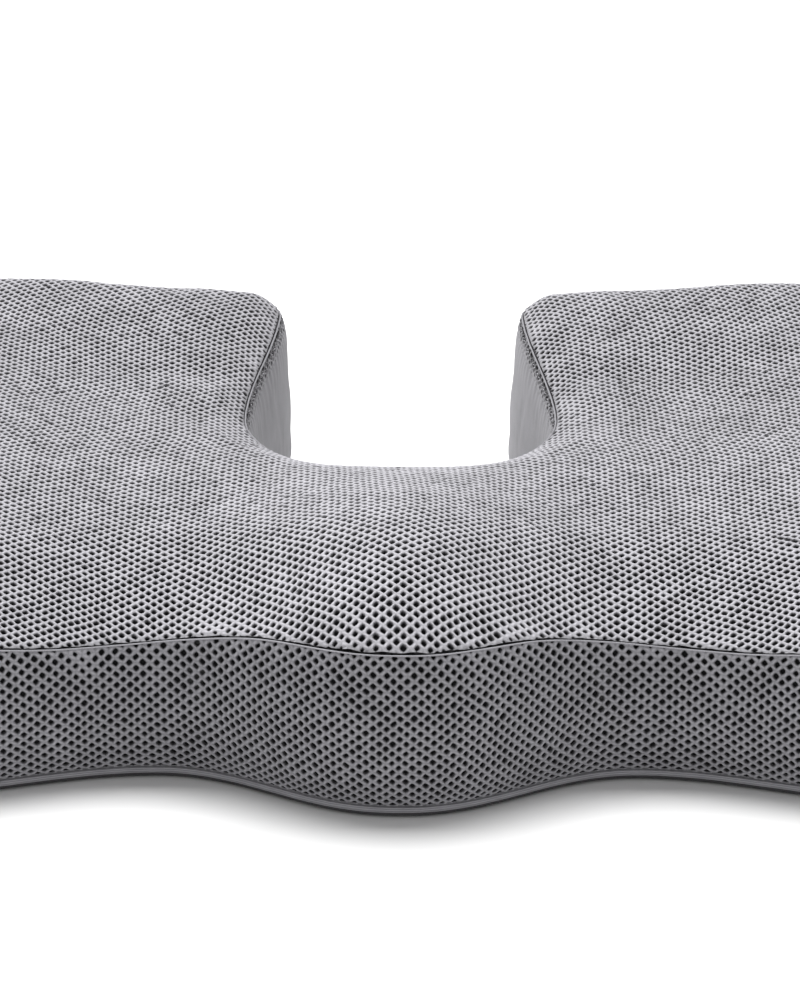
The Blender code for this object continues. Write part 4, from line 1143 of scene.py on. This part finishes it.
path = hem_path()
tangent = np.roll(path, -1, 0) - np.roll(path, 1, 0)
tangent /= np.linalg.norm(tangent, axis=1)[:, None]
away = np.stack([0 * path[:, 0], tangent[:, 1], -tangent[:, 0]], -1)
centre = np.stack([np.full(len(path), FLANK_X - 0.1), path[:, 0], path[:, 1]], -1)
hem = sweep("zip_hem", centre, np.broadcast_to((1.0, 0, 0), centre.shape), away, np.array([(0.0, -0.75), (0.42, -0.45), (0.52, 0.1), (0.45, 0.9), (0.32, 1.5), (0.0, 1.75), (-0.7, 1.3), (-0.9, 0.0), (-0.6, -0.7)]), HEM, True, slot="binding")
flank_runs = RUN_FLANK + (np.arange(WINDOW_Y0 + 1, WINDOW_Y1 - 1, 2.8) - FRONT_CORNER_Y)
for title, zz in (("upper", WINDOW_Z1 + 1.25), ("lower", WINDOW_Z0 - 1.15)):
    stitches("zip_hem_stitches_" + title, flank_runs, np.full_like(flank_runs, zz), 2.0, 0.2, STITCH, 0.42)

for title, sign in (("upper", 1), ("lower", -1)):
    low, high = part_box("zip_coil_" + title)
    y0, y1 = low[1] * 1000 + DEPTH / 2, high[1] * 1000 + DEPTH / 2
    pitch = 1.25
    count = int((y1 - y0 - 0.4) / pitch)
    ys = (y0 + y1) / 2 + (np.arange(count) - (count - 1) / 2) * pitch
    ring = np.arange(8) * 2 * np.pi / 8
    t = np.array([0.0, 0.03, 0.25, 0.5, 0.75, 0.93, 1.0])
    fat = np.array([0.35, 0.85, 0.92, 0.92, 1.0, 0.95, 0.45])
    z = ZIP_Z + sign * (LANE + 0.03 + t * (COIL_W - 0.06))
    px = COIL_X + COIL_T / 2 + 0 * t
    body_x = (COIL_T / 2 - 0.05) * fat[:, None] * np.cos(ring)[None]
    body_y = 0.52 * fat[:, None] * np.sin(ring)[None]
    lean = np.linspace(-0.12, 0.12, 7)[:, None]
    tooth = np.stack([px[:, None] + body_x, body_y + lean, np.broadcast_to(z[:, None], body_x.shape)], -1)
    p = tooth[None] + np.stack([0 * ys, ys, 0 * ys], -1)[:, None, None]
    k = np.arange(count * 56).reshape(count, 7, 8)
    kn = np.roll(k, -1, 2)
    quads = np.stack([k[:, :-1], k[:, 1:], kn[:, 1:], kn[:, :-1]], -1).reshape(-1, 4)
    caps = np.concatenate([k[:, 0], k[:, -1, ::-1]])
    if sign > 0:
        quads, caps = quads[:, ::-1], caps[:, ::-1]
    make_mesh("zip_teeth_" + title, p.reshape(-1, 3), [quads, caps], COIL, nodes=("zip_coil_" + title,), slot="zip_coil")

# ---------------------------------------------------------------- CAD pieces that stay, with finished materials and eased edges
finish = {
    "foam_core": FOAM, "inner_sock_top": SOCK_PAINTED_SHADE, "inner_sock_base": SOCK_PAINTED_SHADE, "zip_tape_upper": ZIP_TAPE, "zip_tape_lower": ZIP_TAPE,
    "zip_top_stop_upper": METAL, "zip_top_stop_lower": METAL, "zip_bottom_stop": METAL, "zip_end_cover_front": ZIP_TAPE,
    "zip_end_cover_rear": ZIP_TAPE, "zip_slider_body": METAL, "zip_pull_tab": METAL, "care_label": LABEL,
}
for node, mat in finish.items():
    obj = frame["nodes"][node]
    for index in range(len(obj.data.materials)):
        obj.data.materials[index] = mat
    if not obj.data.materials:
        obj.data.materials.append(mat)
for node in ("zip_slider_body", "zip_pull_tab"):
    bevel = frame["nodes"][node].modifiers.new("Eased", "BEVEL")
    bevel.width, bevel.segments, bevel.limit_method, bevel.angle_limit = 0.00018, 2, "ANGLE", math.radians(50)
    bevel.use_clamp_overlap = True

# ================================================================ floor, light and camera
floor_mesh = bpy.data.meshes.new("floor")
floor_mesh.from_pydata([(-6, -4, 0), (6, -4, 0), (6, 10, 0), (-6, 10, 0)], [], [(0, 1, 2, 3)])
floor = bpy.data.objects.new("floor", floor_mesh)
bpy.context.scene.collection.objects.link(floor)
floor_mat = Nodes("floor", (0.70, 0.70, 0.70), 0.9)
floor_mat.shader.inputs["Specular IOR Level"].default_value = 0.0
floor_mesh.materials.append(floor_mat.mat)
floor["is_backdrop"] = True

world = bpy.data.worlds.new("studio")
bpy.context.scene.world = world
world.use_nodes = True
world.node_tree.nodes["Background"].inputs["Color"].default_value = (1.0, 1.0, 1.0, 1)
world.node_tree.nodes["Background"].inputs["Strength"].default_value = 0.57


def area(name, place, target, size, power, colour=(1, 1, 1)):
    data = bpy.data.lights.new(name, "AREA")
    data.shape, data.size, data.size_y, data.energy, data.color = "RECTANGLE", size[0], size[1], power, colour
    obj = bpy.data.objects.new(name, data)
    obj.location = place
    obj.rotation_euler = (Vector(target) - Vector(place)).to_track_quat("-Z", "Y").to_euler()
    bpy.context.scene.collection.objects.link(obj)
    return obj


area("overhead", (0.0, 0.33, 1.65), (0, 0.0, 0), (1.7, 0.80), 51)
area("side", (-1.3, 0.85, 0.6), (0, 0.05, 0.05), (0.7, 0.7), 20)

# The photograph's view: 22 degrees down, a long lens, level but for a slight roll
F_PX, AWAY, ELEVATION, FOOT_PX, ROLL = 3500.0, 1.250, math.radians(22), 816.0, 0.35
forward = Vector((0, math.cos(ELEVATION), -math.sin(ELEVATION)))
above = Vector((0, math.sin(ELEVATION), math.cos(ELEVATION)))
foot = Vector((0, (-DEPTH / 2 + INSET_BASE) * 0.001, 0))
eye = foot - forward * AWAY + above * ((FOOT_PX - 500) / F_PX * AWAY)
camera_data = bpy.data.cameras.new("camera")
camera_data.lens, camera_data.sensor_width = F_PX * 36.0 / 1000.0, 36.0
camera_data.clip_start, camera_data.clip_end = 0.05, 50
camera = bpy.data.objects.new("camera", camera_data)
bpy.context.scene.collection.objects.link(camera)
camera.location = eye
camera.rotation_euler = (forward.to_track_quat("-Z", "Y").to_matrix() @ Matrix.Rotation(math.radians(ROLL), 3, "Z")).to_euler()
bpy.context.scene.camera = camera
bpy.context.scene.view_settings.view_transform = "Standard"
bpy.context.scene.view_settings.look = "None"

low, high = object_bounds()
